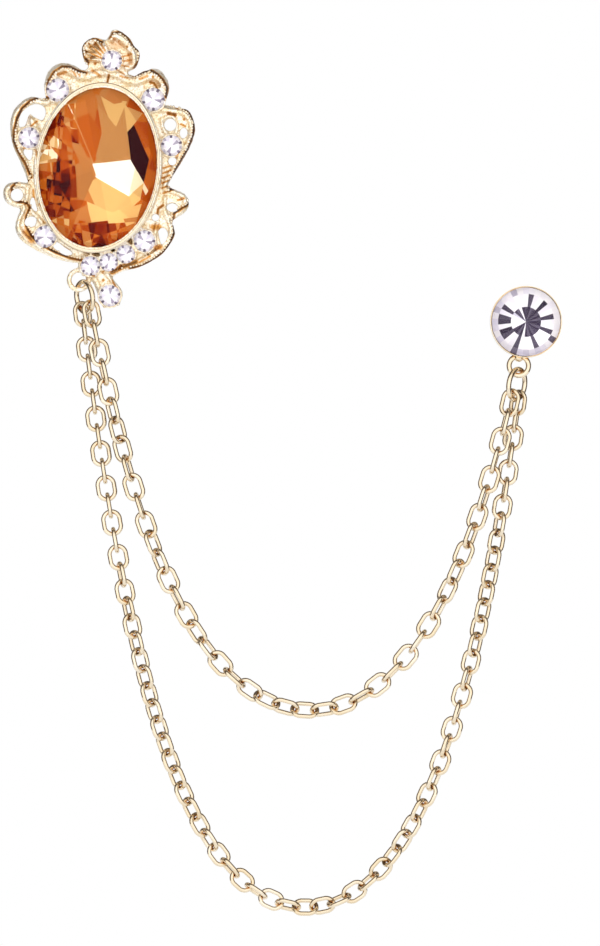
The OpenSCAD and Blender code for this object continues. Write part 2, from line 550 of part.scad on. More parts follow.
outer_line = strand(hook(left_ring_at, -ring_turn, left_ring_lean, -LEFT_SEAT, -7),
    hook(right_ring_at, ring_turn, right_ring_lean, RIGHT_SEAT, 8),
    outer_links * (outer_link_l - 2 * link_wire - link_play));
inner_line = strand(hook(left_ring_at, -ring_turn, left_ring_lean, LEFT_SEAT, -11),
    hook(right_ring_at, ring_turn, right_ring_lean, -RIGHT_SEAT, 13),
    inner_links * (inner_link_l - 2 * link_wire - link_play));

module outer_chain() {
    color(pale_gold) chain(outer_line, outer_links, outer_link_l, OUTER_ROLL, 1);
}

module inner_chain() {
    color(pale_gold) chain(inner_line, inner_links, inner_link_l, INNER_ROLL, -1);
}

// Carries a shape from the stud's own frame, flat back down, to where the stud is pinned
module on_stud() {
    translate(stud_at) rotate([90, 0, 0]) children();
}

// Cup of the stud with its lip, and the soldered loop
module stud_cup() {
    seat = stud_cup_h - 0.45;
    r = stud_d / 2;
    color(gold) union() {
        on_stud() rotate_extrude($fn = 90) polygon([[0, 0], [r - 1.2, 0], [r - 0.15, 1.1], [r, 1.5],
            [r, stud_cup_h - 0.12], [r - 0.12, stud_cup_h], [r - stud_wall - 0.3, stud_cup_h],
            [r - stud_wall - 0.3, seat + 0.3], [r - stud_wall, seat + 0.2],
            [r - stud_wall, seat - 0.4], [0.6, 0.5], [0, 0.5]]);
        difference() {
            translate(stud_eye_at) rotate([90, 0, 0]) rotate_extrude($fn = 60)
                translate([(loop_d - loop_wire) / 2, 0]) circle(d = loop_wire, $fn = round);
            on_stud() translate([0, 0, -1]) cylinder(r = r - 0.8 * stud_wall, h = stud_cup_h, $fn = 90);
        }
    }
}

module stud_crystal() {
    color(clear) on_stud() translate([0, 0, stud_cup_h - 0.5]) stud_stone();
}

// The stud's stone: a ring of sixteen crown facets, a wide table and a deep pavilion
module stud_stone() {
    d = stud_crystal_d;
    hull() {
        translate([0, 0, 0.11 * d]) cylinder(d = 0.5 * d, h = 0.01, $fn = 8);
        translate([0, 0, 0.055 * d]) rotate([0, 0, 11.25]) cylinder(d = 0.8 * d, h = 0.01, $fn = few);
        translate([0, 0, -0.02 * d]) cylinder(d = d, h = 0.02 * d, $fn = 32);
        translate([0, 0, -0.3 * d]) cylinder(d = 0.06 * d, h = 0.01, $fn = 8);
    }
}

// Post of the stud with its pad, one plain piece
module stud_post() {
    tip = 0.6 * post_d;
    color(steel) on_stud() translate([0, 0, -fit]) rotate([180, 0, 0]) {
        cylinder(d = pad_d, h = plate_t, $fn = round);
        cylinder(d = post_d, h = plate_t + post_l - tip, $fn = round);
        translate([0, 0, plate_t + post_l - tip]) cylinder(d1 = post_d, d2 = 0.3 * post_d, h = tip, $fn = round);
    }
}

brooch_frame();
oval_stone();
for (row = CRYSTALS) crystal(row);
brooch_pin();
brooch_ring();
outer_chain();
inner_chain();
stud_ring();
stud_cup();
stud_crystal();
stud_post();
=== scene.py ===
# %% [markdown]
# # A lapel chain in Blender
# A lapel chain is a brooch and a stud joined by two hanging chains. This lesson dresses its
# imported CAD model: the cast brooch, the faceted stones, the links and the small findings each
# get their own shape and finish. Everything is in metres, in the frame of the CAD model, so
# a piece is made where it belongs and is never moved to fit.

import math

import bmesh
import bpy
import numpy as np
from mathutils import Matrix, Vector
from mathutils.bvhtree import BVHTree


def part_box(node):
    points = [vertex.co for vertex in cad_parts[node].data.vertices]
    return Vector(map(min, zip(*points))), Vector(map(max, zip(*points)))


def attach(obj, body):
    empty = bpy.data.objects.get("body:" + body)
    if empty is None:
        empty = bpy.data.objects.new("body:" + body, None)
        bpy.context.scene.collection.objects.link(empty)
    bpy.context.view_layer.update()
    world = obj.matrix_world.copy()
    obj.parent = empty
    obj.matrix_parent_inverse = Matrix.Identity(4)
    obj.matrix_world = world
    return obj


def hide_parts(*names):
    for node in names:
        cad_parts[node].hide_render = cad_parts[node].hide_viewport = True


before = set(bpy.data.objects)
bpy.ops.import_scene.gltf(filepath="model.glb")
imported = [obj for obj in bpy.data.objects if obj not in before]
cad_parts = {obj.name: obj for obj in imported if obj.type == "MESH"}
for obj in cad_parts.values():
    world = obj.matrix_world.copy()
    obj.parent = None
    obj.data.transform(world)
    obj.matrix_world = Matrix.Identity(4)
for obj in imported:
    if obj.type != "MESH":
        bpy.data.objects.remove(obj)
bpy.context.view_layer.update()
MM = 0.001

# %% [markdown]
# ## Helpers for working by hand in code
# An operator acts on whatever is selected, so the habit that matters most is to deselect
# everything before a piece is started. Places on the front of the brooch are read off in
# steps of 0.152 mm, counted right and down from the picture's corner. Everything that is
# listed that way is a round number.

# %% Helpers
STEP = 0.152 * MM
# the middle of the oval stone: in the frame, and counted in steps
STONE_AT = Vector((-0.453, -2.15, -3.974)) * MM
STONE_ACROSS, STONE_DOWN = 98.2, 168
LEAN = math.radians(6.5)
# turns what was made lying flat, face up, to face the viewer
LAID_TO_FRONT = Matrix.Rotation(math.radians(90), 4, "X")


def spot(across, down):
    """World X and Z of a place counted in steps from the picture's corner."""
    return (STONE_AT.x + (across - STONE_ACROSS) * STEP,
            STONE_AT.z + (STONE_DOWN - down) * STEP)


def deselect():
    if bpy.context.object and bpy.context.object.mode != "OBJECT":
        bpy.ops.object.mode_set(mode="OBJECT")
    bpy.ops.object.select_all(action="DESELECT")


def work_on(piece):
    """Makes one piece the only selected and active one."""
    deselect()
    piece.hide_set(False)
    piece.select_set(True)
    bpy.context.view_layer.objects.active = piece


def new_piece(name):
    """Names the primitive that an operator has just added."""
    piece = bpy.context.object
    piece.name = piece.data.name = name
    return piece


def open_edit(kind="VERT"):
    bpy.ops.object.mode_set(mode="EDIT")
    bpy.ops.mesh.select_mode(type=kind)


def select_where(test, kind="VERT"):
    """In edit mode, selects the vertices, edges or faces that pass a test."""
    bpy.ops.mesh.select_mode(type=kind)
    bpy.ops.mesh.select_all(action="DESELECT")
    mesh = bmesh.from_edit_mesh(bpy.context.object.data)
    parts = {"VERT": mesh.verts, "EDGE": mesh.edges, "FACE": mesh.faces}[kind]
    chosen = [part for part in parts if test(part)]
    for part in chosen:
        part.select_set(True)
    mesh.select_flush_mode()
    bmesh.update_edit_mesh(bpy.context.object.data)
    return len(chosen)


def apply_modifier(piece, kind, **settings):
    work_on(piece)
    bpy.ops.object.modifier_add(type=kind)
    modifier = piece.modifiers[-1]
    for key, value in settings.items():
        setattr(modifier, key, value)
    bpy.ops.object.modifier_apply(modifier=modifier.name)


def copy_of(piece, name, matrix):
    """A copy with its own mesh, moved there by a matrix that goes into the mesh."""
    mesh = piece.data.copy()
    mesh.name = name
    mesh.transform(matrix)
    twin = bpy.data.objects.new(name, mesh)
    bpy.context.scene.collection.objects.link(twin)
    return twin


def joined(pieces, name):
    deselect()
    for piece in pieces:
        piece.select_set(True)
    bpy.context.view_layer.objects.active = pieces[0]
    bpy.ops.object.join()
    return new_piece(name)


def finish_piece(piece, material, slot, *nodes, smooth=40):
    """Gives a piece its finish, lets it ride, and hides the CAD nodes it stands for."""
    work_on(piece)
    if smooth:
        bpy.ops.object.shade_smooth_by_angle(angle=math.radians(smooth))
    if material is not None:
        piece.data.materials.clear()
        piece.data.materials.append(material)
    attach(piece, "root")
    if nodes:
        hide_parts(*nodes)
    piece.data.calc_loop_triangles()
    print(f"{piece.name}: {len(piece.data.loop_triangles)} triangles")
    return piece


def copy_of_node(node, name):
    """A merged copy of a CAD node's loose triangles, as a start for a dressed piece."""
    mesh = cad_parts[node].data.copy()
    mesh.name = name
    mesh.materials.clear()
    piece = bpy.data.objects.new(name, mesh)
    bpy.context.scene.collection.objects.link(piece)
    work_on(piece)
    open_edit()
    bpy.ops.mesh.select_all(action="SELECT")
    bpy.ops.mesh.remove_doubles(threshold=0.002 * MM)
    bpy.ops.object.mode_set(mode="OBJECT")
    return piece


# %% [markdown]
# ## Finishes
# The brooch is one casting under a pale gold plate: satin on its worn high places and darker,
# more orange, in the corners, partly where the plating is thin and partly as painted shade.
# The chains are the same gold, polished, with painted shade where the links cross. The stones
# are glass over a metal foil, which is what makes a cheap stone flash; the light and dark of
# each facet is painted into the foil as a painted reflection.

# %% Material helpers
def new_material(name):
    material = bpy.data.materials.new(name)
    material.use_nodes = True
    nodes = material.node_tree.nodes
    return material, nodes, material.node_tree.links, nodes["Principled BSDF"]


def add_node(nodes, kind, **settings):
    node = nodes.new(kind)
    for key, value in settings.items():
        if key in node.inputs:
            node.inputs[key].default_value = value
        else:
            setattr(node, key, value)
    return node


def ramp(nodes, stops):
    node = nodes.new("ShaderNodeValToRGB")
    elements = node.color_ramp.elements
    while len(elements) < len(stops):
        elements.new(0.5)
    for element, (place, colour) in zip(elements, stops):
        element.position = place
        element.color = (*colour, 1)
    return node


def object_noise(nodes, links, scale, detail=3.0, roughness=0.5):
    """Noise on Object coordinates; the scale counts features per metre."""
    coords = add_node(nodes, "ShaderNodeTexCoord")
    noise = add_node(nodes, "ShaderNodeTexNoise", Scale=scale, Detail=detail)
    noise.inputs["Roughness"].default_value = roughness
    links.new(coords.outputs["Object"], noise.inputs["Vector"])
    return noise


def uneven_roughness(nodes, links, shader, noise, least, most):
    """Lets the roughness follow a noise between two values."""
    rough = add_node(nodes, "ShaderNodeMapRange")
    rough.inputs["To Min"].default_value = least
    rough.inputs["To Max"].default_value = most
    links.new(noise.outputs["Fac"], rough.inputs["Value"])
    links.new(rough.outputs["Result"], shader.inputs["Roughness"])


def multiplied(nodes, links, colour, layer, amount):
    """A colour multiplied by the colour of a layer."""
    mix = add_node(nodes, "ShaderNodeMix", data_type="RGBA", blend_type="MULTIPLY")
    mix.inputs["Factor"].default_value = amount
    links.new(colour, mix.inputs["A"])
    links.new(layer.outputs["Color"], mix.inputs["B"])
    return mix.outputs["Result"]


# %% Cast gold
def cast_gold():
    """Cream gold, mottled with orange, and brown in its corners and in the cut strokes, where
    shade is painted.
    """
    material, nodes, links, shader = new_material("cast_gold_finish")
    shader.inputs["Metallic"].default_value = 0.7
    shader.inputs["Specular IOR Level"].default_value = 0.3
    # darker and more orange where the surface is hemmed in: partly thin plating, partly painted
    # shade
    occlusion = add_node(nodes, "ShaderNodeAmbientOcclusion", samples=8, Distance=0.9 * MM)
    depth = ramp(nodes, [(0.08, (0.13, 0.05, 0.012)), (0.22, (0.72, 0.49, 0.24)),
                         (0.4, (0.96, 0.89, 0.74)), (0.6, (1.0, 0.98, 0.93))])
    links.new(occlusion.outputs["AO"], depth.inputs["Fac"])
    broad = object_noise(nodes, links, 700, 3, 0.55)
    patches = ramp(nodes, [(0.4, (0.98, 0.89, 0.71)), (0.52, (1, 0.98, 0.92)), (0.62, (1, 1, 1))])
    links.new(broad.outputs["Fac"], patches.inputs["Fac"])
    fine = object_noise(nodes, links, 3600, 4, 0.65)
    specks = ramp(nodes, [(0.38, (0.56, 0.36, 0.19)), (0.47, (0.96, 0.86, 0.68)),
                          (0.54, (1, 1, 1))])
    links.new(fine.outputs["Fac"], specks.inputs["Fac"])
    # this attribute paints shade into the cut strokes, the pits, under the crystals and beside
    # the outer edge, and tints the wide strokes orange
    wear_and_painted_shade = add_node(nodes, "ShaderNodeAttribute", attribute_name="wear_and_painted_shade")
    tint_and_painted_shade = ramp(nodes, [(0.0, (0.07, 0.02, 0.006)), (0.3, (0.72, 0.38, 0.12)),
                        (0.5, (1, 1, 1)), (1.0, (1, 1, 1))])
    links.new(wear_and_painted_shade.outputs["Fac"], tint_and_painted_shade.inputs["Fac"])
    colour = depth.outputs["Color"]
    for layer, amount in ((patches, 0.9), (specks, 0.75), (tint_and_painted_shade, 1.0)):
        colour = multiplied(nodes, links, colour, layer, amount)
    links.new(colour, shader.inputs["Base Color"])
    grain = object_noise(nodes, links, 3200, 3, 0.6)
    uneven_roughness(nodes, links, shader, grain, 0.24, 0.42)
    bump = add_node(nodes, "ShaderNodeBump", Strength=1.0, Distance=0.1 * MM)
    links.new(grain.outputs["Fac"], bump.inputs["Height"])
    links.new(bump.outputs["Normal"], shader.inputs["Normal"])
    return material


# %% Polished gold
def polished_gold():
    material, nodes, links, shader = new_material("polished_gold_finish")
    shader.inputs["Metallic"].default_value = 0.95
    tone = object_noise(nodes, links, 260, 2)
    tint = ramp(nodes, [(0.3, (0.78, 0.65, 0.46)), (0.7, (0.86, 0.77, 0.63))])
    links.new(tone.outputs["Fac"], tint.inputs["Fac"])
    # darker and orange where the links touch and cross: painted shade
    nearness = add_node(nodes, "ShaderNodeAmbientOcclusion", samples=8, Distance=1.1 * MM)
    painted_corner_shade = ramp(nodes, [(0.22, (0.3, 0.11, 0.02)), (0.36, (0.95, 0.52, 0.16)),
                          (0.52, (1, 0.8, 0.5)), (0.68, (1, 1, 1))])
    links.new(nearness.outputs["AO"], painted_corner_shade.inputs["Fac"])
    colour = multiplied(nodes, links, tint.outputs["Color"], painted_corner_shade, 1.0)
    links.new(colour, shader.inputs["Base Color"])
    wear_and_painted_shade = object_noise(nodes, links, 700, 2)
    uneven_roughness(nodes, links, shader, wear_and_painted_shade, 0.06, 0.12)
    return material


# %% Steel of the hidden findings
def plain_steel():
    material, nodes, links, shader = new_material("plain_steel_finish")
    shader.inputs["Metallic"].default_value = 1.0
    coords = add_node(nodes, "ShaderNodeTexCoord")
    brush = add_node(nodes, "ShaderNodeMapping")
    brush.inputs["Scale"].default_value = (400, 4000, 4000)
    noise = add_node(nodes, "ShaderNodeTexNoise", Scale=1.0, Detail=2.0)
    links.new(coords.outputs["Object"], brush.inputs["Vector"])
    links.new(brush.outputs["Vector"], noise.inputs["Vector"])
    tint = ramp(nodes, [(0.3, (0.55, 0.56, 0.58)), (0.7, (0.74, 0.75, 0.77))])
    links.new(noise.outputs["Fac"], tint.inputs["Fac"])
    links.new(tint.outputs["Color"], shader.inputs["Base Color"])
    uneven_roughness(nodes, links, shader, noise, 0.22, 0.4)
    return material


# %% Glass and foil
def crown_glass(name, colour):
    material, nodes, links, shader = new_material(name)
    shader.inputs["Base Color"].default_value = (*colour, 1)
    shader.inputs["Transmission Weight"].default_value = 1.0
    shader.inputs["IOR"].default_value = 1.14
    shader.inputs["Coat Weight"].default_value = 0.08
    shader.inputs["Coat IOR"].default_value = 1.5
    shader.inputs["Coat Roughness"].default_value = 0.02
    haze = object_noise(nodes, links, 400, 2)
    uneven_roughness(nodes, links, shader, haze, 0.0, 0.02)
    return material


def foil(name, tones):
    """The foiled back: each facet takes its own tone from the mesh's facet_tone, a painted
    reflection.
    """
    material, nodes, links, shader = new_material(name)
    shader.inputs["Metallic"].default_value = 0.3
    shader.inputs["Roughness"].default_value = 0.35
    shader.inputs["Specular IOR Level"].default_value = 0.0
    tone = add_node(nodes, "ShaderNodeAttribute", attribute_name="facet_tone")
    tint = ramp(nodes, tones)
    links.new(tone.outputs["Fac"], tint.inputs["Fac"])
    links.new(tint.outputs["Color"], shader.inputs["Base Color"])
    return material


CAST_GOLD = cast_gold()
POLISHED_GOLD = polished_gold()
PLAIN_STEEL = plain_steel()
AMBER_GLASS = crown_glass("amber_glass", (1.0, 0.96, 0.88))
AMBER_FOIL = foil("amber_foil", [
    (0.0, (0.022, 0.002, 0.004)), (0.2, (0.15, 0.008, 0.002)), (0.4, (0.36, 0.053, 0.005)),
    (0.55, (0.47, 0.115, 0.013)), (0.7, (0.44, 0.185, 0.058)), (0.85, (0.68, 0.41, 0.15)),
    (1.0, (0.96, 0.92, 0.78))])
CLEAR_GLASS = crown_glass("clear_glass", (0.99, 0.985, 1.0))
SILVER_FOIL = foil("silver_foil", [
    (0.0, (0.045, 0.035, 0.06)), (0.4, (0.22, 0.19, 0.27)), (0.7, (0.7, 0.67, 0.8)),
    (1.0, (0.88, 0.86, 0.9))])
print("finishes:", [m.name for m in bpy.data.materials])

# %% [markdown]
# ## The casting
# The brooch is cast in one piece and its corners are soft, as metal that has run into a
# rubber mould always is. The CAD solid has its forms with sharp edges. A merged copy of it is
# remeshed into even small squares, which joins the scrolls as the mould does, and then
# smoothed a little. Remeshing is better here than bevels, because the scrolls cross each
# other in hundreds of places.

# %% Casting: soft copy of the solid
casting = copy_of_node("brooch_frame", "casting")
apply_modifier(casting, "REMESH", mode="VOXEL", voxel_size=0.14 * MM, adaptivity=0.0)
apply_modifier(casting, "SMOOTH", factor=0.5, iterations=2)
print("casting:", len(casting.data.vertices), "vertices")

# %% [markdown]
# The model maker cut lines, pits and ribs into the wax before it was cast. Each stroke below
# is a line of places on the front, with a depth, a half width and a tone: the surface that
# faces forward is pushed in, or raised where the depth is negative, and the colour is
# darker there if the tone is below zero. That darkening is painted shade in the cuts and pits
# and a painted shadow under the row of crystals; in the wide strokes it tints the plate orange.

# %% Strokes cut in the front: depth in mm, half width in steps, tone, places
STROKES = [
    # shell, left lobe: ribs and pits
    (0.16, 1.3, -0.25, (101, 58), (84, 50)), (0.16, 1.3, -0.25, (101, 55), (88, 43)),
    (0.16, 1.3, -0.25, (103, 53), (94, 40)), (0.14, 1.3, -0.2, (105, 51), (100, 42)),
    (0.12, 1.2, -0.2, (100, 62), (88, 60)),
    (-0.1, 2.0, 0.1, (85, 57), (83, 48), (88, 41), (96, 38)),
    (0.2, 1.8, -0.35, (86, 52), (86, 52)), (0.2, 1.8, -0.35, (90, 47), (90, 47)),
    (0.2, 1.8, -0.35, (95, 44), (95, 44)), (0.2, 1.8, -0.3, (91, 58), (91, 58)),
    (0.2, 2.0, -0.3, (95, 63), (95, 63)),
    # shell, top and right lobes: raised rim, hollow, lines
    (-0.14, 2.5, 0.15, (109, 38), (113, 34), (120, 34), (127, 39), (131, 46)),
    (0.16, 4.5, -0.12, (112, 44), (122, 45)), (0.2, 1.6, -0.3, (112, 39), (115, 39)),
    (0.2, 1.6, -0.3, (119, 41), (119, 41)), (0.2, 1.8, -0.3, (127, 47), (127, 47)),
    (-0.14, 2.5, 0.15, (132, 50), (138, 54), (138, 61), (134, 68)),
    (0.18, 3.5, -0.15, (130, 54), (131, 63)), (0.12, 1.2, -0.2, (121, 57), (131, 54)),
    (0.12, 1.2, -0.2, (121, 61), (131, 60)), (0.12, 1.2, -0.2, (121, 65), (129, 67)),
    (0.12, 1.2, -0.2, (117, 70), (124, 74)),
    # the field between the shell and the stone
    (0.22, 1.3, -0.45, (109, 75), (107, 83)), (0.12, 1.5, -0.2, (72, 70), (76, 76)),
    (0.12, 1.5, -0.2, (78, 71), (80, 77)), (-0.1, 3.0, 0.1, (66, 82), (80, 78), (98, 80)),
    (-0.1, 3.0, 0.1, (118, 80), (134, 81), (147, 92)), (0.12, 2.0, -0.2, (92, 70), (100, 76)),
    (0.12, 1.6, -0.2, (120, 76), (128, 78)), (0.14, 2.0, -0.25, (58, 74), (66, 72)),
    (0.2, 1.5, -0.4, (150, 82), (154, 83), (157, 88)), (0.18, 1.8, -0.35, (153, 77), (153, 77)),
    (0.12, 2.0, -0.2, (140, 79), (147, 76)), (0.14, 1.6, -0.25, (84, 68), (88, 64)),
    # left side
    (-0.1, 1.5, 0.1, (28, 124), (33, 117)), (0.14, 1.2, -0.3, (31, 126), (37, 121)),
    (0.12, 1.4, -0.2, (36, 150), (38, 160)), (0.12, 1.6, -0.2, (24, 148), (27, 156)),
    (0.14, 1.4, -0.25, (33, 190), (34, 200)), (0.12, 5.0, -0.22, (26, 232), (32, 240)),
    (0.14, 1.6, -0.25, (60, 246), (68, 250)), (0.12, 1.4, -0.2, (40, 205), (48, 212)),
    # right side
    (0.22, 2.0, -0.4, (168, 113), (175, 115)), (0.2, 1.8, -0.3, (184, 119), (184, 119)),
    (0.16, 1.4, -0.3, (181, 124), (185, 126)), (0.12, 1.4, -0.2, (172, 105), (178, 109)),
    (0.16, 1.2, -0.3, (163, 168), (172, 165)), (0.16, 1.2, -0.3, (163, 173), (171, 170)),
    (0.16, 1.2, -0.3, (162, 178), (170, 175)), (0.16, 1.2, -0.3, (162, 183), (170, 180)),
    (0.16, 1.2, -0.3, (162, 188), (170, 185)), (0.16, 1.2, -0.3, (163, 193), (169, 191)),
    (0.2, 1.6, -0.35, (157, 216), (158, 209), (163, 205)),
    (0.12, 4.0, -0.25, (153, 227), (159, 227)),
    (0.12, 3.5, -0.25, (156, 248), (160, 247)), (0.14, 1.6, -0.25, (140, 262), (150, 256)),
    (0.12, 1.6, -0.2, (180, 150), (176, 158)), (0.14, 1.5, -0.25, (178, 200), (184, 198)),
    # under the row of crystals, where the first stroke is a painted shadow, and the tip
    (0.1, 3.0, -0.45, (112, 272), (122, 267), (136, 262)),
    (0.16, 1.8, -0.35, (103, 272), (103, 272)),
    (0.16, 1.8, -0.35, (103, 280), (103, 280)), (0.16, 1.4, -0.35, (112, 280), (118, 290)),
    (-0.1, 1.6, 0.1, (109, 278), (116, 284), (121, 294)), (0.12, 1.5, -0.3, (88, 272), (94, 276))]


# the lines of the outer edge that carry milgrain, with painted shade beside them
EDGES = [
    [(50, 98), (40, 97), (30, 101), (22, 108), (17, 118), (14, 130), (14, 141), (18, 151),
     (24, 161), (28, 170), (31, 177)],
    [(29, 180), (18, 181), (12, 187), (12, 195), (17, 201), (27, 203), (30, 208), (26, 216),
     (26, 226), (32, 236), (42, 245), (55, 252), (70, 258), (82, 260)],
    [(168, 104), (180, 106), (189, 112), (194, 122), (193, 135), (188, 148), (182, 158),
     (176, 168), (172, 178), (170, 190), (178, 187), (186, 190), (190, 196), (188, 204),
     (181, 209), (174, 213), (173, 222), (174, 232), (170, 243), (163, 252), (152, 260),
     (142, 265), (130, 268)],
    [(88, 62), (83, 55), (82, 47), (87, 40), (94, 38), (102, 42)],
    [(110, 38), (113, 33), (120, 32), (127, 37), (131, 44), (140, 52), (139, 60), (134, 68)],
    [(48, 92), (48, 82), (54, 72), (62, 67), (70, 67), (78, 71), (86, 73)],
    [(134, 76), (142, 73), (150, 70), (157, 74), (163, 80), (167, 88), (166, 97)]]


def places_of(piece):
    """Steps across and down of each vertex, its position and how much it faces forward."""
    mesh = piece.data
    count = len(mesh.vertices)
    points, normals = np.empty(count * 3), np.empty(count * 3)
    mesh.vertices.foreach_get("co", points)
    mesh.vertices.foreach_get("normal", normals)
    points, normals = points.reshape(-1, 3), normals.reshape(-1, 3)
    across = STONE_ACROSS + (points[:, 0] - STONE_AT.x) / STEP
    down = STONE_DOWN - (points[:, 2] - STONE_AT.z) / STEP
    return across, down, points, np.clip(-2 * normals[:, 1], 0, 1)


def weight_near(across, down, line, half_width):
    """One in the middle of a line of places, falling softly to nought at its edge."""
    nearest = np.full(across.shape, 1e9)
    for (x0, y0), (x1, y1) in zip(line, line[1:]):
        dx, dy = x1 - x0, y1 - y0
        share = ((across - x0) * dx + (down - y0) * dy) / max(dx * dx + dy * dy, 1e-9)
        share = np.clip(share, 0, 1)
        nearest = np.minimum(nearest, np.hypot(across - x0 - share * dx, down - y0 - share * dy))
    return np.clip(1 - (nearest / half_width) ** 2, 0, 1)


BEZEL_HALF_WIDTH, BEZEL_HALF_HEIGHT = 9.35 * MM, 12.6 * MM


def bezel_weight(across, down):
    """One on the smooth bezel round the stone, nought away from it."""
    right, below = across - STONE_ACROSS, down - STONE_DOWN
    a = (right * math.cos(LEAN) + below * math.sin(LEAN)) * STEP
    b = (-right * math.sin(LEAN) + below * math.cos(LEAN)) * STEP
    ring = np.hypot(a / BEZEL_HALF_WIDTH, b / BEZEL_HALF_HEIGHT)
    return np.clip(1 - np.abs(ring - 1) / 0.07, 0, 1)


# %% Cutting the strokes, then the grain of the mould
STROKE_SHARE = 0.8  # of the listed depth
MOST_TRIANGLES = 185000
EDGE_SHADE_STARTS, EDGE_SHADE_FADES, EDGE_SHADE_HALF_WIDTH = -2.6 * MM, 0.5 * MM, 1.9
across, down, points, facing = places_of(casting)
for depth, half_width, tone, *line in STROKES:
    points[:, 1] += STROKE_SHARE * depth * MM * facing * weight_near(
        across, down, line, half_width)
casting.data.vertices.foreach_set("co", points.ravel())
casting.data.update()
rough_part = casting.vertex_groups.new(name="rough_part")
smooth_part = bezel_weight(across, down)
rough_part.add([int(i) for i in np.flatnonzero(smooth_part < 0.5)], 1.0, "REPLACE")
grain = bpy.data.textures.new("casting_grain", "CLOUDS")
grain.noise_scale = 0.42 * MM
grain.noise_depth = 2
apply_modifier(casting, "DISPLACE", texture=grain, texture_coords="LOCAL",
               vertex_group="rough_part", strength=0.12 * MM, mid_level=0.5)
casting.data.calc_loop_triangles()
share = MOST_TRIANGLES / len(casting.data.loop_triangles)
apply_modifier(casting, "DECIMATE", ratio=min(1.0, share))
across, down, points, facing = places_of(casting)
# darker in the cut strokes and pits, under the crystals and beside the outer edges: painted
# shade; the wide strokes only tint the plate orange
wear_and_painted_shade = np.full(across.shape, 0.5)
for depth, half_width, tone, *line in STROKES:
    wear_and_painted_shade += tone * facing * weight_near(across, down, line, half_width)
# painted shade beside the outer edges, on the parts that stand forward
ahead = np.clip((EDGE_SHADE_STARTS - points[:, 1]) / EDGE_SHADE_FADES, 0, 1)
for line in EDGES:
    wear_and_painted_shade -= 0.5 * ahead * weight_near(across, down, line, EDGE_SHADE_HALF_WIDTH)
attribute = casting.data.attributes.new("wear_and_painted_shade", "FLOAT", "POINT")
attribute.data.foreach_set("value", np.clip(wear_and_painted_shade, 0, 1).astype(np.float32))
print("strokes:", len(STROKES), "casting:", len(casting.data.vertices), "vertices")
finish_piece(casting, CAST_GOLD, "cast_gold", "brooch_frame", smooth=180)

# %% [markdown]
# A row of grains, called milgrain, runs along parts of the outer edge. It is rolled on with a
# small notched wheel, one grain after the other. One grain is made and set down along lines
# of places, each where a ray from the front meets the casting.

# %% Milgrain along the edge
SINGLE_GRAINS = [(47, 81), (30, 176), (30, 181), (137, 268), (122, 268)]
GRAIN_RADIUS = 0.2 * MM
GRAIN_GAP, GRAIN_INWARD = 2.9, 1.7  # in steps
IN_FRONT = -20 * MM  # where the rays towards the casting start
BACKWARD = Vector((0, 1, 0))


def along_line(line, gap, inward):
    """Places at even gaps along a line, moved towards the middle of the stone."""
    places, left = [], 0.0
    for (x0, y0), (x1, y1) in zip(line, line[1:]):
        length = math.hypot(x1 - x0, y1 - y0)
        side = Vector((y0 - y1, x1 - x0)) / length
        if side.dot(Vector((STONE_ACROSS - x0, STONE_DOWN - y0))) < 0:
            side = -side
        while left < length:
            t = left / length
            places.append((x0 + (x1 - x0) * t + side.x * inward,
                           y0 + (y1 - y0) * t + side.y * inward))
            left += gap
        left -= length
    return places


deselect()
bpy.ops.mesh.primitive_ico_sphere_add(subdivisions=2, radius=GRAIN_RADIUS)
grain_pattern = new_piece("grain_pattern")
open_edit()
bpy.ops.mesh.select_all(action="SELECT")
bpy.ops.transform.resize(value=(1.0, 0.8, 1.0))
bpy.ops.object.mode_set(mode="OBJECT")
surface = BVHTree.FromObject(casting, bpy.context.evaluated_depsgraph_get())
grains = []
places = [p for line in EDGES for p in along_line(line, GRAIN_GAP, GRAIN_INWARD)]
places += SINGLE_GRAINS
for i, place in enumerate(places):
    x, z = spot(*place)
    hit = surface.ray_cast(Vector((x, IN_FRONT, z)), BACKWARD)[0]
    if hit is not None and hit.y < -1.0 * MM:
        size = 0.85 + 0.3 * ((i * 7) % 5) / 4
        grains.append(copy_of(grain_pattern, f"grain_{i}",
                              Matrix.Translation(hit) @ Matrix.Scale(size, 4)))
bpy.data.objects.remove(grain_pattern)
milgrain = joined(grains, "milgrain")
attribute = milgrain.data.attributes.new("wear_and_painted_shade", "FLOAT", "POINT")
attribute.data.foreach_set("value", [0.6] * len(milgrain.data.vertices))
finish_piece(milgrain, CAST_GOLD, "cast_gold", smooth=180)

# %% Bezel rim, burnished smooth over the stone
deselect()
bpy.ops.mesh.primitive_torus_add(major_segments=128, minor_segments=12,
                                 major_radius=1.0, minor_radius=0.024)
rim = new_piece("bezel_rim")
open_edit()
bpy.ops.mesh.select_all(action="SELECT")
bpy.ops.transform.resize(value=(9.22 * MM, 12.68 * MM, 9.22 * MM))
bpy.ops.object.mode_set(mode="OBJECT")
x, z = spot(STONE_ACROSS, STONE_DOWN)
edge = surface.ray_cast(Vector((x, IN_FRONT, z + 12.65 * MM)), BACKWARD)[0]
print("front of the bezel:", edge)
rim.data.transform(Matrix.Translation((x, edge.y + 0.12 * MM, z))
                   @ Matrix.Rotation(LEAN, 4, "Y") @ LAID_TO_FRONT)
finish_piece(rim, POLISHED_GOLD, "cast_gold", smooth=180)

# %% [markdown]
# ## The links
# A link is a wire bent into a flat oval with straight sides. It starts as a torus whose
# halves are pulled apart in edit mode, so the two segments between them become the straight
# sides. One link is made for each strand, and copied onto each link of the CAD chain. Where
# a CAD link is, and how it is turned, is measured from its own surface.

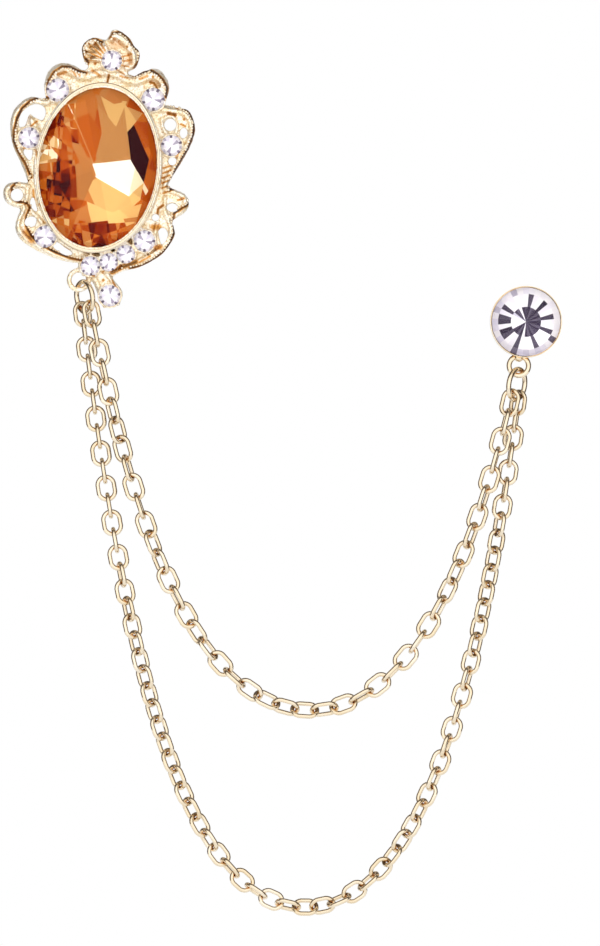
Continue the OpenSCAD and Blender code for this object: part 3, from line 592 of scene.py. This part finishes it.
# %% Link tools
def make_link(name, length, width, wire):
    deselect()
    bpy.ops.mesh.primitive_torus_add(
        major_segments=24, minor_segments=10, major_radius=(width - wire) / 2,
        minor_radius=wire / 2)
    link = new_piece(name)
    link.data.transform(Matrix.Rotation(math.radians(7.5), 4, "Z"))
    open_edit()
    stretch = (length - width) / 2
    for side in (-1, 1):
        select_where(lambda v: v.co.x * side > 0)
        bpy.ops.transform.translate(value=(side * stretch, 0, 0))
    bpy.ops.object.mode_set(mode="OBJECT")
    return link


def placed_like(solid):
    """Middle and turn of a solid, from the spread of its surface."""
    mesh = solid.data
    count = len(mesh.polygons)
    middles, areas = np.empty(count * 3), np.empty(count)
    mesh.polygons.foreach_get("center", middles)
    mesh.polygons.foreach_get("area", areas)
    middles = middles.reshape(-1, 3)
    middle = (middles * areas[:, None]).sum(0) / areas.sum()
    offsets = (middles - middle) * np.sqrt(areas / areas.sum())[:, None]
    axes = np.linalg.svd(offsets, full_matrices=False)[2]
    if np.linalg.det(axes) < 0:
        axes[2] = -axes[2]
    turn = Matrix(axes.tolist()).transposed().to_4x4()
    return Matrix.Translation(Vector(middle.tolist())) @ turn


def dress_chain(node, name, link):
    solids = copy_of_node(node, name + "_solids")
    open_edit()
    bpy.ops.mesh.separate(type="LOOSE")
    bpy.ops.object.mode_set(mode="OBJECT")
    solids = list(bpy.context.selected_objects)
    links = [copy_of(link, f"{name}_{i}", placed_like(s)) for i, s in enumerate(solids)]
    for solid in solids:
        bpy.data.objects.remove(solid)
    bpy.data.objects.remove(link)
    return joined(links, name)


# %% The two strands
LINK_WIRE = 0.68 * MM
LINK_WIDTH = 3.2 * MM
LINK_LENGTHS = {"outer_chain": 4.15 * MM, "inner_chain": 4.49 * MM}
for node, length in LINK_LENGTHS.items():
    pattern = make_link(node + "_link", length, LINK_WIDTH, LINK_WIRE)
    strand = dress_chain(node, node + "_links", pattern)
    finish_piece(strand, POLISHED_GOLD, "polished_gold", node, smooth=180)

# %% [markdown]
# ## The stones
# A lapidary cuts a stone facet by facet against a flat wheel. The bisect operator does the
# same: it slices the blank with a plane and closes the cut. A round stone is cut at the size
# of one, and is then stretched to its own width and length, which keeps every facet flat.

# %% Cutting a stone
def cut(point, normal):
    """Slices everything off that lies outside a plane, and closes the cut."""
    bpy.ops.mesh.select_all(action="SELECT")
    bpy.ops.mesh.bisect(plane_co=point, plane_no=normal, use_fill=True, clear_outer=True)


def cut_stone(name, crown, table, back, culet, sides=64):
    """A stone of radius 1 with its table up. Each tier of crown and back is: number of
    facets, turn in steps, tilt from level in degrees, distance from the axis, height."""
    deselect()
    bpy.ops.mesh.primitive_cylinder_add(vertices=sides, radius=1, depth=2)
    stone = new_piece(name)
    open_edit()
    for up, tiers in ((1, crown), (-1, back)):
        for number, turn, tilt, reach, height in tiers:
            for i in range(number):
                angle = 2 * math.pi * (i + turn) / number
                outward = Vector((math.cos(angle), math.sin(angle), 0))
                lift = Vector((0, 0, up))
                tip = math.radians(tilt)
                cut(outward * reach + lift * height,
                    outward * math.sin(tip) + lift * math.cos(tip))
    cut((0, 0, table), (0, 0, 1))
    cut((0, 0, -culet), (0, 0, -1))
    bpy.ops.mesh.select_all(action="SELECT")
    bpy.ops.mesh.remove_doubles(threshold=0.001)
    bpy.ops.mesh.normals_make_consistent(inside=False)
    bpy.ops.object.mode_set(mode="OBJECT")
    return stone


def foil_the_back(stone, glass, back, tone_of):
    """Glass in front, foil behind. tone_of gives a back facet's tone, a painted reflection, from
    its middle.
    """
    stone.data.materials.clear()
    stone.data.materials.append(glass)
    stone.data.materials.append(back)
    tone = stone.data.attributes.new("facet_tone", "FLOAT", "FACE")
    for face in stone.data.polygons:
        behind = face.normal.z < -0.3
        face.material_index = 1 if behind else 0
        tone.data[face.index].value = tone_of(face.center) if behind else 1.0


def set_stone(pattern, name, node, scale, turn=0.0):
    """Turns a copy's table forward and sets it where the CAD stone is, at its size."""
    low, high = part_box(node)
    front = max(v.co.z for v in pattern.data.vertices) * scale.z
    middle = Vector(((low.x + high.x) / 2, low.y + front + 0.01 * MM, (low.z + high.z) / 2))
    place = (Matrix.Translation(middle) @ Matrix.Rotation(turn, 4, "Y")
             @ LAID_TO_FRONT @ Matrix.Diagonal((*scale, 1)))
    return copy_of(pattern, name, place)


# %% The oval stone: lines of the back, and the tone of each facet between them, a painted reflection
# the large facets: tone, then the corners in steps; the first that holds a place counts
PATCHES = [
    (0.74, (66, 98), (67, 98), (86, 144), (94, 163), (93, 163), (85.2, 144)),
    (1.0, (93, 164), (129, 160), (134, 171), (128, 196), (97, 178)),
    (0.93, (129, 160), (143, 183), (128, 196), (134, 171)),
    (0.0, (127, 133), (137, 137), (143, 148), (148, 161), (143, 181), (137, 172), (130, 160)),
    (0.81, (86, 185), (97, 178), (128, 196), (112, 212), (95, 205)),
    (0.85, (88, 206), (95, 205), (112, 212), (133, 206), (128, 218), (92, 222)),
    (0.48, (77, 115), (92, 118), (102, 133), (98, 148), (88, 158), (79, 140)),
    (0.6, (78, 99), (90, 92), (98, 106), (96, 118), (92, 118), (77, 115)),
    (0.72, (98, 106), (108, 118), (127, 133), (130, 160), (93, 164), (98, 148), (102, 133)),
    (0.83, (101, 97), (114, 105), (124, 103), (136, 122), (127, 133), (108, 118)),
    (0.66, (79, 140), (88, 158), (93, 164), (84, 172), (75, 152)),
    (0.68, (64, 102), (80, 88), (90, 92), (78, 99), (77, 115)),
    (0.67, (84, 172), (93, 164), (97, 178), (86, 185)),
    (0.83, (131, 188), (143, 183), (140, 200), (133, 206), (128, 196))]
# lines that the back is cut along: from, to
SIGHT_LINES = [
    ((66, 100), (93, 163)), ((93, 163), (129, 160)), ((128, 110), (131, 160)),
    ((131, 160), (143, 182)), ((97, 178), (130, 197)), ((86, 186), (97, 179)),
    ((128, 197), (143, 183)), ((88, 205), (112, 213)), ((112, 213), (134, 200)),
    ((76, 165), (78, 215)), ((97, 100), (102, 140)), ((102, 140), (95, 162)),
    ((97, 100), (128, 131)), ((76, 225), (130, 222)), ((60, 165), (63, 205)),
    ((138, 136), (150, 163)), ((150, 163), (143, 182)), ((88, 185), (86, 222)),
    # the small flashes of the left side, of the bottom and round the edge
    ((46, 120), (72, 128)), ((44, 135), (74, 143)), ((42, 150), (76, 149)),
    ((42, 164), (74, 160)), ((42, 178), (74, 183)), ((44, 194), (78, 198)),
    ((50, 209), (80, 212)), ((57, 108), (55, 150)), ((66, 104), (62, 150)),
    ((50, 138), (54, 175)), ((54, 170), (50, 205)), ((68, 148), (71, 190)),
    ((48, 142), (62, 160)), ((62, 120), (76, 140)), ((60, 186), (76, 212)),
    ((70, 186), (58, 214)), ((80, 222), (85, 250)), ((96, 224), (91, 252)),
    ((106, 222), (110, 252)), ((120, 222), (115, 250)), ((72, 232), (132, 236)),
    ((76, 241), (122, 245)), ((136, 104), (152, 112)), ((140, 122), (158, 124)),
    ((150, 128), (156, 152)), ((146, 168), (159, 174)), ((141, 186), (157, 190)),
    ((137, 200), (153, 207)), ((78, 100), (92, 88)), ((91, 87), (99, 105)),
    ((109, 87), (104, 104)), ((118, 88), (123, 104)), ((131, 95), (125, 111)),
    ((76, 94), (130, 103)), ((60, 228), (78, 240)), ((122, 212), (138, 226))]
# across, down and tone for places outside the patches; the nearest one counts
FACET_TONES = [
    (72, 100, 0.72), (86, 102, 0.5), (84, 125, 0.42), (95, 135, 0.5), (92, 92, 0.6),
    (108, 93, 0.62), (125, 97, 0.64), (112, 130, 0.68), (118, 148, 0.7), (106, 158, 0.7),
    (116, 115, 0.8), (128, 118, 0.74), (140, 120, 0.55), (147, 140, 0.45), (138, 150, 0.0),
    (143, 168, 0.03), (135, 140, 0.02), (104, 168, 1.0), (122, 170, 1.0), (122, 185, 1.0),
    (135, 178, 0.95), (136, 188, 0.92), (100, 192, 0.8), (118, 203, 0.8), (96, 212, 0.83),
    (118, 216, 0.85), (128, 210, 0.81), (140, 205, 0.5), (150, 175, 0.5), (154, 160, 0.45),
    (135, 222, 0.65), (120, 232, 0.4), (105, 228, 0.25), (95, 238, 0.3), (85, 228, 0.42),
    (112, 244, 0.45), (70, 235, 0.45), (66, 220, 0.6), (80, 212, 0.64), (70, 205, 0.28),
    (78, 195, 0.63), (68, 190, 0.12), (62, 172, 0.14), (56, 185, 0.12), (54, 200, 0.3),
    (70, 172, 0.4), (80, 175, 0.67), (86, 168, 0.68), (80, 150, 0.68), (68, 145, 0.35),
    (60, 150, 0.5), (50, 145, 0.66), (47, 158, 0.8), (52, 168, 0.6), (62, 130, 0.4),
    (55, 125, 0.3), (66, 115, 0.45), (46, 178, 0.45), (47, 148, 0.9), (53, 157, 0.86),
    (58, 143, 0.9), (50, 136, 0.35), (64, 138, 0.3), (70, 155, 0.5), (60, 182, 0.05),
    (66, 196, 0.14), (56, 206, 0.2), (50, 192, 0.35), (73, 180, 0.3), (48, 165, 0.72),
    (74, 120, 0.6), (60, 118, 0.25), (64, 160, 0.22), (58, 168, 0.1), (72, 208, 0.15),
    (76, 205, 0.45), (64, 210, 0.35), (88, 236, 0.55), (98, 229, 0.15), (112, 236, 0.5),
    (100, 245, 0.2), (120, 240, 0.22), (108, 250, 0.3), (80, 240, 0.25), (128, 234, 0.5),
    (146, 112, 0.5), (150, 126, 0.4), (154, 145, 0.55), (155, 170, 0.35), (152, 184, 0.5),
    (148, 198, 0.42), (144, 215, 0.5), (82, 94, 0.62), (98, 90, 0.56), (115, 92, 0.64),
    (136, 104, 0.42), (104, 97, 0.68), (114, 98, 0.64)]

# how much the painted reflections of neighbouring facets differ where the back is broken up most
FLASHES = (0.0, 0.16, -0.1, 0.08, -0.16, 0.22, -0.06)
FLASHES_LEFT_OF, FLASHES_BELOW = 76, 223


def inside(place, corners):
    """Whether a place lies within a polygon, by counting the edges to its right."""
    x, y, within = place[0], place[1], False
    for (x0, y0), (x1, y1) in zip(corners, corners[1:] + corners[:1]):
        if (y0 > y) != (y1 > y) and x < (x1 - x0) * (y - y0) / (y1 - y0) + x0:
            within = not within
    return within


def amber_tone(place):
    for tone, *corners in PATCHES:
        if inside(place, corners):
            return tone
    return min(FACET_TONES, key=lambda row: math.dist(row[:2], place))[2]


pattern = cut_stone(
    "oval_pattern",
    crown=[(16, 0.5, 38, 1.0, 0.02), (8, 0, 28, 0.93, 0.07), (8, 0.5, 18, 0.62, 0.21)],
    table=0.25, back=[(16, 0.5, 16, 1.0, 0.02), (8, 0, 11, 0.9, 0.045)], culet=0.2)
oval = set_stone(pattern, "oval_stone_cut", "oval_stone",
                 Vector((9.12, 12.36, 9.12)) * MM, LEAN)
bpy.data.objects.remove(pattern)
work_on(oval)
open_edit("FACE")
# a net of small flashes on the left and at the bottom
net = [((42, 108 + 9 * i), (80, 108 + 9 * i + (15, -9, 4, -17, 11)[i % 5])) for i in range(14)]
net += [((45 + 6 * i, 108), (45 + 6 * i + (14, -6, 9, -12)[i % 4], 236)) for i in range(6)]
net += [((70 + 9 * i, 221), (70 + 9 * i + (13, -12, 6)[i % 3], 254)) for i in range(7)]
net += [((70, 226), (130, 244)), ((74, 246), (132, 224))]
patch_edges = [edge for _, *corners in PATCHES
               for edge in zip(corners, corners[1:] + corners[:1])]
for start, end in patch_edges + SIGHT_LINES + net:
    a, b = Vector(spot(*start)), Vector(spot(*end))
    along = Vector((b[0] - a[0], 0, b[1] - a[1]))
    middle, reach = (a + b) / 2, (b - a).length / 2 + 4 * STEP
    select_where(lambda face: face.normal.y > 0.3 and (Vector(
        face.calc_center_median().xz) - middle).length < reach, "FACE")
    bpy.ops.mesh.bisect(plane_co=(a[0], 0, a[1]),
                        plane_no=along.cross(BACKWARD).normalized())
bpy.ops.object.mode_set(mode="OBJECT")
oval.data.materials.append(AMBER_GLASS)
oval.data.materials.append(AMBER_FOIL)
tone = oval.data.attributes.new("facet_tone", "FLOAT", "FACE")
for face in oval.data.polygons:
    behind = face.normal.y > 0.3
    face.material_index = 1 if behind else 0
    across = STONE_ACROSS + (face.center.x - STONE_AT.x) / STEP
    down = STONE_DOWN - (face.center.z - STONE_AT.z) / STEP
    value = amber_tone((across, down)) if behind else 1.0
    if behind and (across < FLASHES_LEFT_OF or down > FLASHES_BELOW):
        value += FLASHES[face.index % len(FLASHES)]
    tone.data[face.index].value = min(max(value, 0.0), 1.0)
finish_piece(oval, None, "amber_glass", "oval_stone", smooth=0)

# %% The small crystals
# the light and dark facets of the crystals are painted reflections in the foil's tone
INNER_TONES = [0.95, 0.8, 1.0, 0.45, 0.9, 0.72, 1.0, 0.95, 0.5, 0.85, 1.0, 0.7]
OUTER_TONES = [0.9, 0.3, 0.8, 1.0, 0.65, 0.9, 0.95, 0.35, 0.8, 1.0, 0.9, 0.4,
               0.95, 0.6, 1.0, 0.3, 0.85, 1.0, 0.7, 0.95, 0.25, 0.9, 1.0, 0.55]


def tone_towards(middle, tones):
    """The tone listed for the direction in which a facet lies from the stone's middle."""
    step = math.atan2(middle.y, middle.x) / (2 * math.pi) * len(tones)
    return tones[round(step) % len(tones)]


def crystal_tone(middle):
    return tone_towards(middle, INNER_TONES if middle.xy.length < 0.5 else OUTER_TONES)


pattern = cut_stone(
    "crystal_pattern",
    crown=[(16, 0.5, 40, 1.0, 0.03), (8, 0, 32, 0.93, 0.1)], table=0.36,
    back=[(24, 0, 24, 1.0, 0.03), (12, 0, 13, 0.6, 0.185)], culet=0.3, sides=32)
foil_the_back(pattern, CLEAR_GLASS, SILVER_FOIL, crystal_tone)
OVER_CAD = 1.1  # the glass is a little wider than the solid
SMALL = ["top_crystal", "left_shoulder_crystal", "right_shoulder_crystal", "left_crystal",
         "right_crystal", "lower_left_crystal", "arc_crystal_1", "arc_crystal_2",
         "arc_crystal_3", "arc_crystal_4", "tip_crystal"]
for i, node in enumerate(SMALL):
    low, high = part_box(node)
    r = min(high.x - low.x, high.z - low.z) / 2 * OVER_CAD
    stone = set_stone(pattern, node + "_cut", node, Vector((r, r, r)), 0.9 * i)
    finish_piece(stone, None, "clear_crystal", node, smooth=0)
bpy.data.objects.remove(pattern)

# %% The stud's crystal: its painted reflections, as tones for each of 32 directions, counted from the right, upwards
HEART_TONES = [
    0.0, 0.15, 0.0, 0.12, 0.0, 0.05, 0.16, 0.0, 0.05, 0.0, 0.9, 0.15, 0.05, 0.6, 1.0, 1.0,
    1.0, 1.0, 0.9, 0.05, 0.0, 0.14, 0.0, 0.9, 0.0, 0.15, 0.0, 0.12, 0.05, 0.0, 0.14, 0.0]
RING_TONES = [
    0.9, 0.05, 1.0, 0.85, 0.0, 1.0, 0.9, 0.1, 1.0, 0.95, 1.0, 0.9, 0.95, 0.05, 0.8, 0.1,
    0.05, 0.9, 0.0, 0.1, 1.0, 0.9, 0.1, 1.0, 0.95, 1.0, 0.1, 0.9, 1.0, 0.95, 0.05, 1.0]
EDGE_TONES = [
    1.0, 0.97, 1.0, 0.9, 1.0, 0.95, 1.0, 0.92, 0.85, 1.0, 0.55, 0.95, 0.9, 0.75, 0.6, 0.9,
    0.7, 0.75, 0.95, 0.7, 0.9, 0.85, 0.3, 0.7, 0.65, 0.8, 0.68, 0.8, 0.95, 0.2, 1.0, 0.95]


def stud_tone(middle):
    away = middle.xy.length
    return tone_towards(middle, HEART_TONES if away < 0.48 else
                        RING_TONES if away < 0.74 else EDGE_TONES)


low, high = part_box("stud_crystal")
r = (high.x - low.x) / 2 + 0.2 * MM
pattern = cut_stone(
    "stud_pattern",
    crown=[(16, 0.5, 32, 1.0, 0.02), (16, 0, 22, 0.85, 0.1)], table=0.22,
    back=[(32, 0, 22, 1.0, 0.02), (32, 0, 14, 0.76, 0.11), (32, 0, 7, 0.48, 0.185)],
    culet=0.3)
foil_the_back(pattern, CLEAR_GLASS, SILVER_FOIL, stud_tone)
stone = set_stone(pattern, "stud_crystal_cut", "stud_crystal", Vector((r, r, r)))
bpy.data.objects.remove(pattern)
finish_piece(stone, None, "clear_crystal", "stud_crystal", smooth=0)

# %% [markdown]
# ## The findings
# The jump rings are wire rings with a saw cut, closed with pliers. The stud's cup is turned
# and its thin edge is burnished over the stone; a wire loop is soldered under it. The pin and
# the post are plain steel and hidden, so softened edges are all they get.

# %% Jump rings
SAW_CUT = 0.05 * MM


def make_ring(name, across, wire):
    """A wire ring with a saw cut on its right side."""
    deselect()
    bpy.ops.mesh.primitive_torus_add(major_segments=64, minor_segments=14,
                                     major_radius=(across - wire) / 2, minor_radius=wire / 2)
    ring = new_piece(name)
    open_edit("FACE")
    for side in (-1, 1):
        select_where(lambda face: face.calc_center_median().x > 0
                     and abs(face.calc_center_median().y) < 0.6 * MM, "FACE")
        bpy.ops.mesh.bisect(plane_co=(0, side * SAW_CUT / 2, 0), plane_no=(0, 1, 0))
    select_where(lambda face: face.calc_center_median().x > 0
                 and abs(face.calc_center_median().y) < 0.02 * MM, "FACE")
    bpy.ops.mesh.delete(type="FACE")
    bpy.ops.mesh.select_mode(type="EDGE")
    bpy.ops.mesh.select_all(action="DESELECT")
    bpy.ops.mesh.select_non_manifold()
    bpy.ops.mesh.fill_holes(sides=40)
    bpy.ops.object.mode_set(mode="OBJECT")
    return ring


RING_ACROSS, RING_WIRE = 5.5 * MM, 0.8 * MM
for node in ("brooch_ring", "stud_ring"):
    solid = copy_of_node(node, node + "_solid")
    pattern = make_ring(node + "_pattern", RING_ACROSS, RING_WIRE)
    ring = copy_of(pattern, node + "_wire", placed_like(solid))
    bpy.data.objects.remove(solid)
    bpy.data.objects.remove(pattern)
    finish_piece(ring, POLISHED_GOLD, "polished_gold", node)

# %% The stud's cup and its soldered loop
low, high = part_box("stud_crystal")
cup_low, cup_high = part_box("stud_cup")
cup_r = (cup_high.x - cup_low.x) / 2
cup_depth = cup_high.y - cup_low.y
CUP_ROUNDING, CUP_CAVITY = 0.9 * MM, 3.3 * MM
deselect()
bpy.ops.mesh.primitive_cylinder_add(vertices=96, radius=cup_r, depth=cup_depth)
cup = new_piece("cup_body")
open_edit("FACE")
select_where(lambda face: face.normal.z < -0.9, "FACE")
bpy.ops.mesh.bevel(offset=CUP_ROUNDING, segments=5, affect="EDGES")
select_where(lambda face: face.normal.z > 0.9, "FACE")
bpy.ops.mesh.inset(thickness=0.05 * MM, depth=0.03 * MM)
bpy.ops.mesh.inset(thickness=0.07 * MM, depth=0.0)
bpy.ops.mesh.inset(thickness=0.03 * MM, depth=-0.05 * MM)
bpy.ops.mesh.extrude_region_move(TRANSFORM_OT_translate={"value": (0, 0, -CUP_CAVITY)})
bpy.ops.object.mode_set(mode="OBJECT")
cup.data.transform(Matrix.Translation(
    ((low.x + high.x) / 2, (cup_low.y + cup_high.y) / 2 + 0.03 * MM, (low.z + high.z) / 2))
    @ LAID_TO_FRONT)
# the loop goes where the lowest millimetre of the CAD cup is
EYE_ACROSS, EYE_WIRE = 3.75 * MM, 0.8 * MM
eye = make_ring("cup_eye", EYE_ACROSS, EYE_WIRE)
lowest = [v.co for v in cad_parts["stud_cup"].data.vertices if v.co.z < cup_low.z + MM]
eye_middle = Vector(((min(co.x for co in lowest) + max(co.x for co in lowest)) / 2,
                     (min(co.y for co in lowest) + max(co.y for co in lowest)) / 2,
                     cup_low.z + EYE_ACROSS / 2))
eye.data.transform(Matrix.Translation(eye_middle) @ LAID_TO_FRONT
                   @ Matrix.Rotation(math.radians(-90), 4, "Z"))
deselect()
bpy.ops.mesh.primitive_uv_sphere_add(segments=24, ring_count=12, radius=0.75 * MM)
solder = new_piece("cup_solder")
open_edit()
select_where(lambda v: v.co.z > 0)
bpy.ops.transform.resize(value=(1.3, 0.8, 0.6))
bpy.ops.object.mode_set(mode="OBJECT")
solder.data.transform(Matrix.Translation(
    (eye_middle.x, eye_middle.y, eye_middle.z + EYE_ACROSS / 2 - 0.55 * MM)))
cup = joined([cup, eye, solder], "stud_cup_turned")
finish_piece(cup, POLISHED_GOLD, "polished_gold", "stud_cup")

# %% Pin and post
for node in ("brooch_pin", "stud_post"):
    steel = copy_of_node(node, node + "_steel")
    apply_modifier(steel, "BEVEL", width=0.08 * MM, segments=2, limit_method="ANGLE",
                   angle_limit=math.radians(50))
    finish_piece(steel, PLAIN_STEEL, "plain_steel", node)

# %% [markdown]
# ## Studio
# Jewellery is photographed in a white tent. The world is that tent: bright in front and
# behind, with a dark belt between, because the thin dark outline of polished metal is a dark
# edge of the tent seen at a grazing angle. The camera sees plain white behind the piece, and
# dull surfaces such as the floor are lit by plain white from all sides.

# %% World
def studio_world():
    world = bpy.data.worlds.new("tent")
    bpy.context.scene.world = world
    world.use_nodes = True
    nodes, links = world.node_tree.nodes, world.node_tree.links
    nodes.clear()
    out = nodes.new("ShaderNodeOutputWorld")
    coords = nodes.new("ShaderNodeTexCoord")
    split = nodes.new("ShaderNodeSeparateXYZ")
    links.new(coords.outputs["Generated"], split.inputs["Vector"])
    depth = add_node(nodes, "ShaderNodeMapRange")
    depth.inputs["From Min"].default_value = -1.0
    depth.inputs["From Max"].default_value = 1.0
    links.new(split.outputs["Y"], depth.inputs["Value"])
    tent = ramp(nodes, [(0.0, (1.4, 1.37, 1.33)), (0.19, (1.3, 1.26, 1.19)),
                        (0.25, (0.95, 0.88, 0.77)), (0.32, (0.07, 0.045, 0.03)),
                        (0.84, (0.07, 0.05, 0.04)), (0.94, (0.75, 0.73, 0.7))])
    links.new(depth.outputs["Result"], tent.inputs["Fac"])
    tent_light = add_node(nodes, "ShaderNodeBackground", Strength=1.0)
    links.new(tent.outputs["Color"], tent_light.inputs["Color"])
    white = add_node(nodes, "ShaderNodeBackground", Color=(1, 1, 1, 1), Strength=1.0)
    path = nodes.new("ShaderNodeLightPath")
    mix = nodes.new("ShaderNodeMixShader")
    plain = add_node(nodes, "ShaderNodeMath", operation="MAXIMUM")
    links.new(path.outputs["Is Camera Ray"], plain.inputs[0])
    links.new(path.outputs["Is Diffuse Ray"], plain.inputs[1])
    links.new(plain.outputs["Value"], mix.inputs["Fac"])
    links.new(tent_light.outputs["Background"], mix.inputs[1])
    links.new(white.outputs["Background"], mix.inputs[2])
    links.new(mix.outputs["Shader"], out.inputs["Surface"])


studio_world()


# %% Lights
def soft_light(name, place, aim, size, power):
    deselect()
    bpy.ops.object.light_add(type="AREA", location=place)
    lamp = bpy.context.object
    lamp.name = name
    lamp.data.size = size
    lamp.data.energy = power
    lamp.visible_glossy = False
    lamp.rotation_euler = (Vector(aim) - Vector(place)).to_track_quat("-Z", "Y").to_euler()


PIECE_MIDDLE = (0.030, -0.005, -0.050)
soft_light("key", (-0.14, -0.65, 0.2), PIECE_MIDDLE, 0.3, 1.6)
soft_light("fill", (0.22, -0.62, -0.12), PIECE_MIDDLE, 0.3, 0.6)

# %% Floor
deselect()
bpy.ops.mesh.primitive_plane_add(size=0.5, location=(0.03, 0, -0.165))
floor = new_piece("floor")
material, nodes, links, shader = new_material("floor_paper")
shader.inputs["Base Color"].default_value = (0.9, 0.9, 0.89, 1)
shader.inputs["Roughness"].default_value = 0.8
floor.data.materials.append(material)

# %% Camera
CAMERA_AWAY = 1.5
SEEN_ACROSS = 0.1438  # width of the picture, 4 mm in front of the frame's origin
SENSOR = 36
bpy.ops.object.camera_add(location=(0.03022, -CAMERA_AWAY, -0.05033),
                          rotation=(math.radians(90), 0, 0))
camera = bpy.context.object
camera.data.sensor_width = SENSOR
camera.data.lens = SENSOR * (CAMERA_AWAY - 0.004) / SEEN_ACROSS
camera.data.clip_start = 0.05
bpy.context.scene.camera = camera
bpy.context.scene.view_settings.view_transform = "Standard"
bpy.context.scene.view_settings.look = "None"
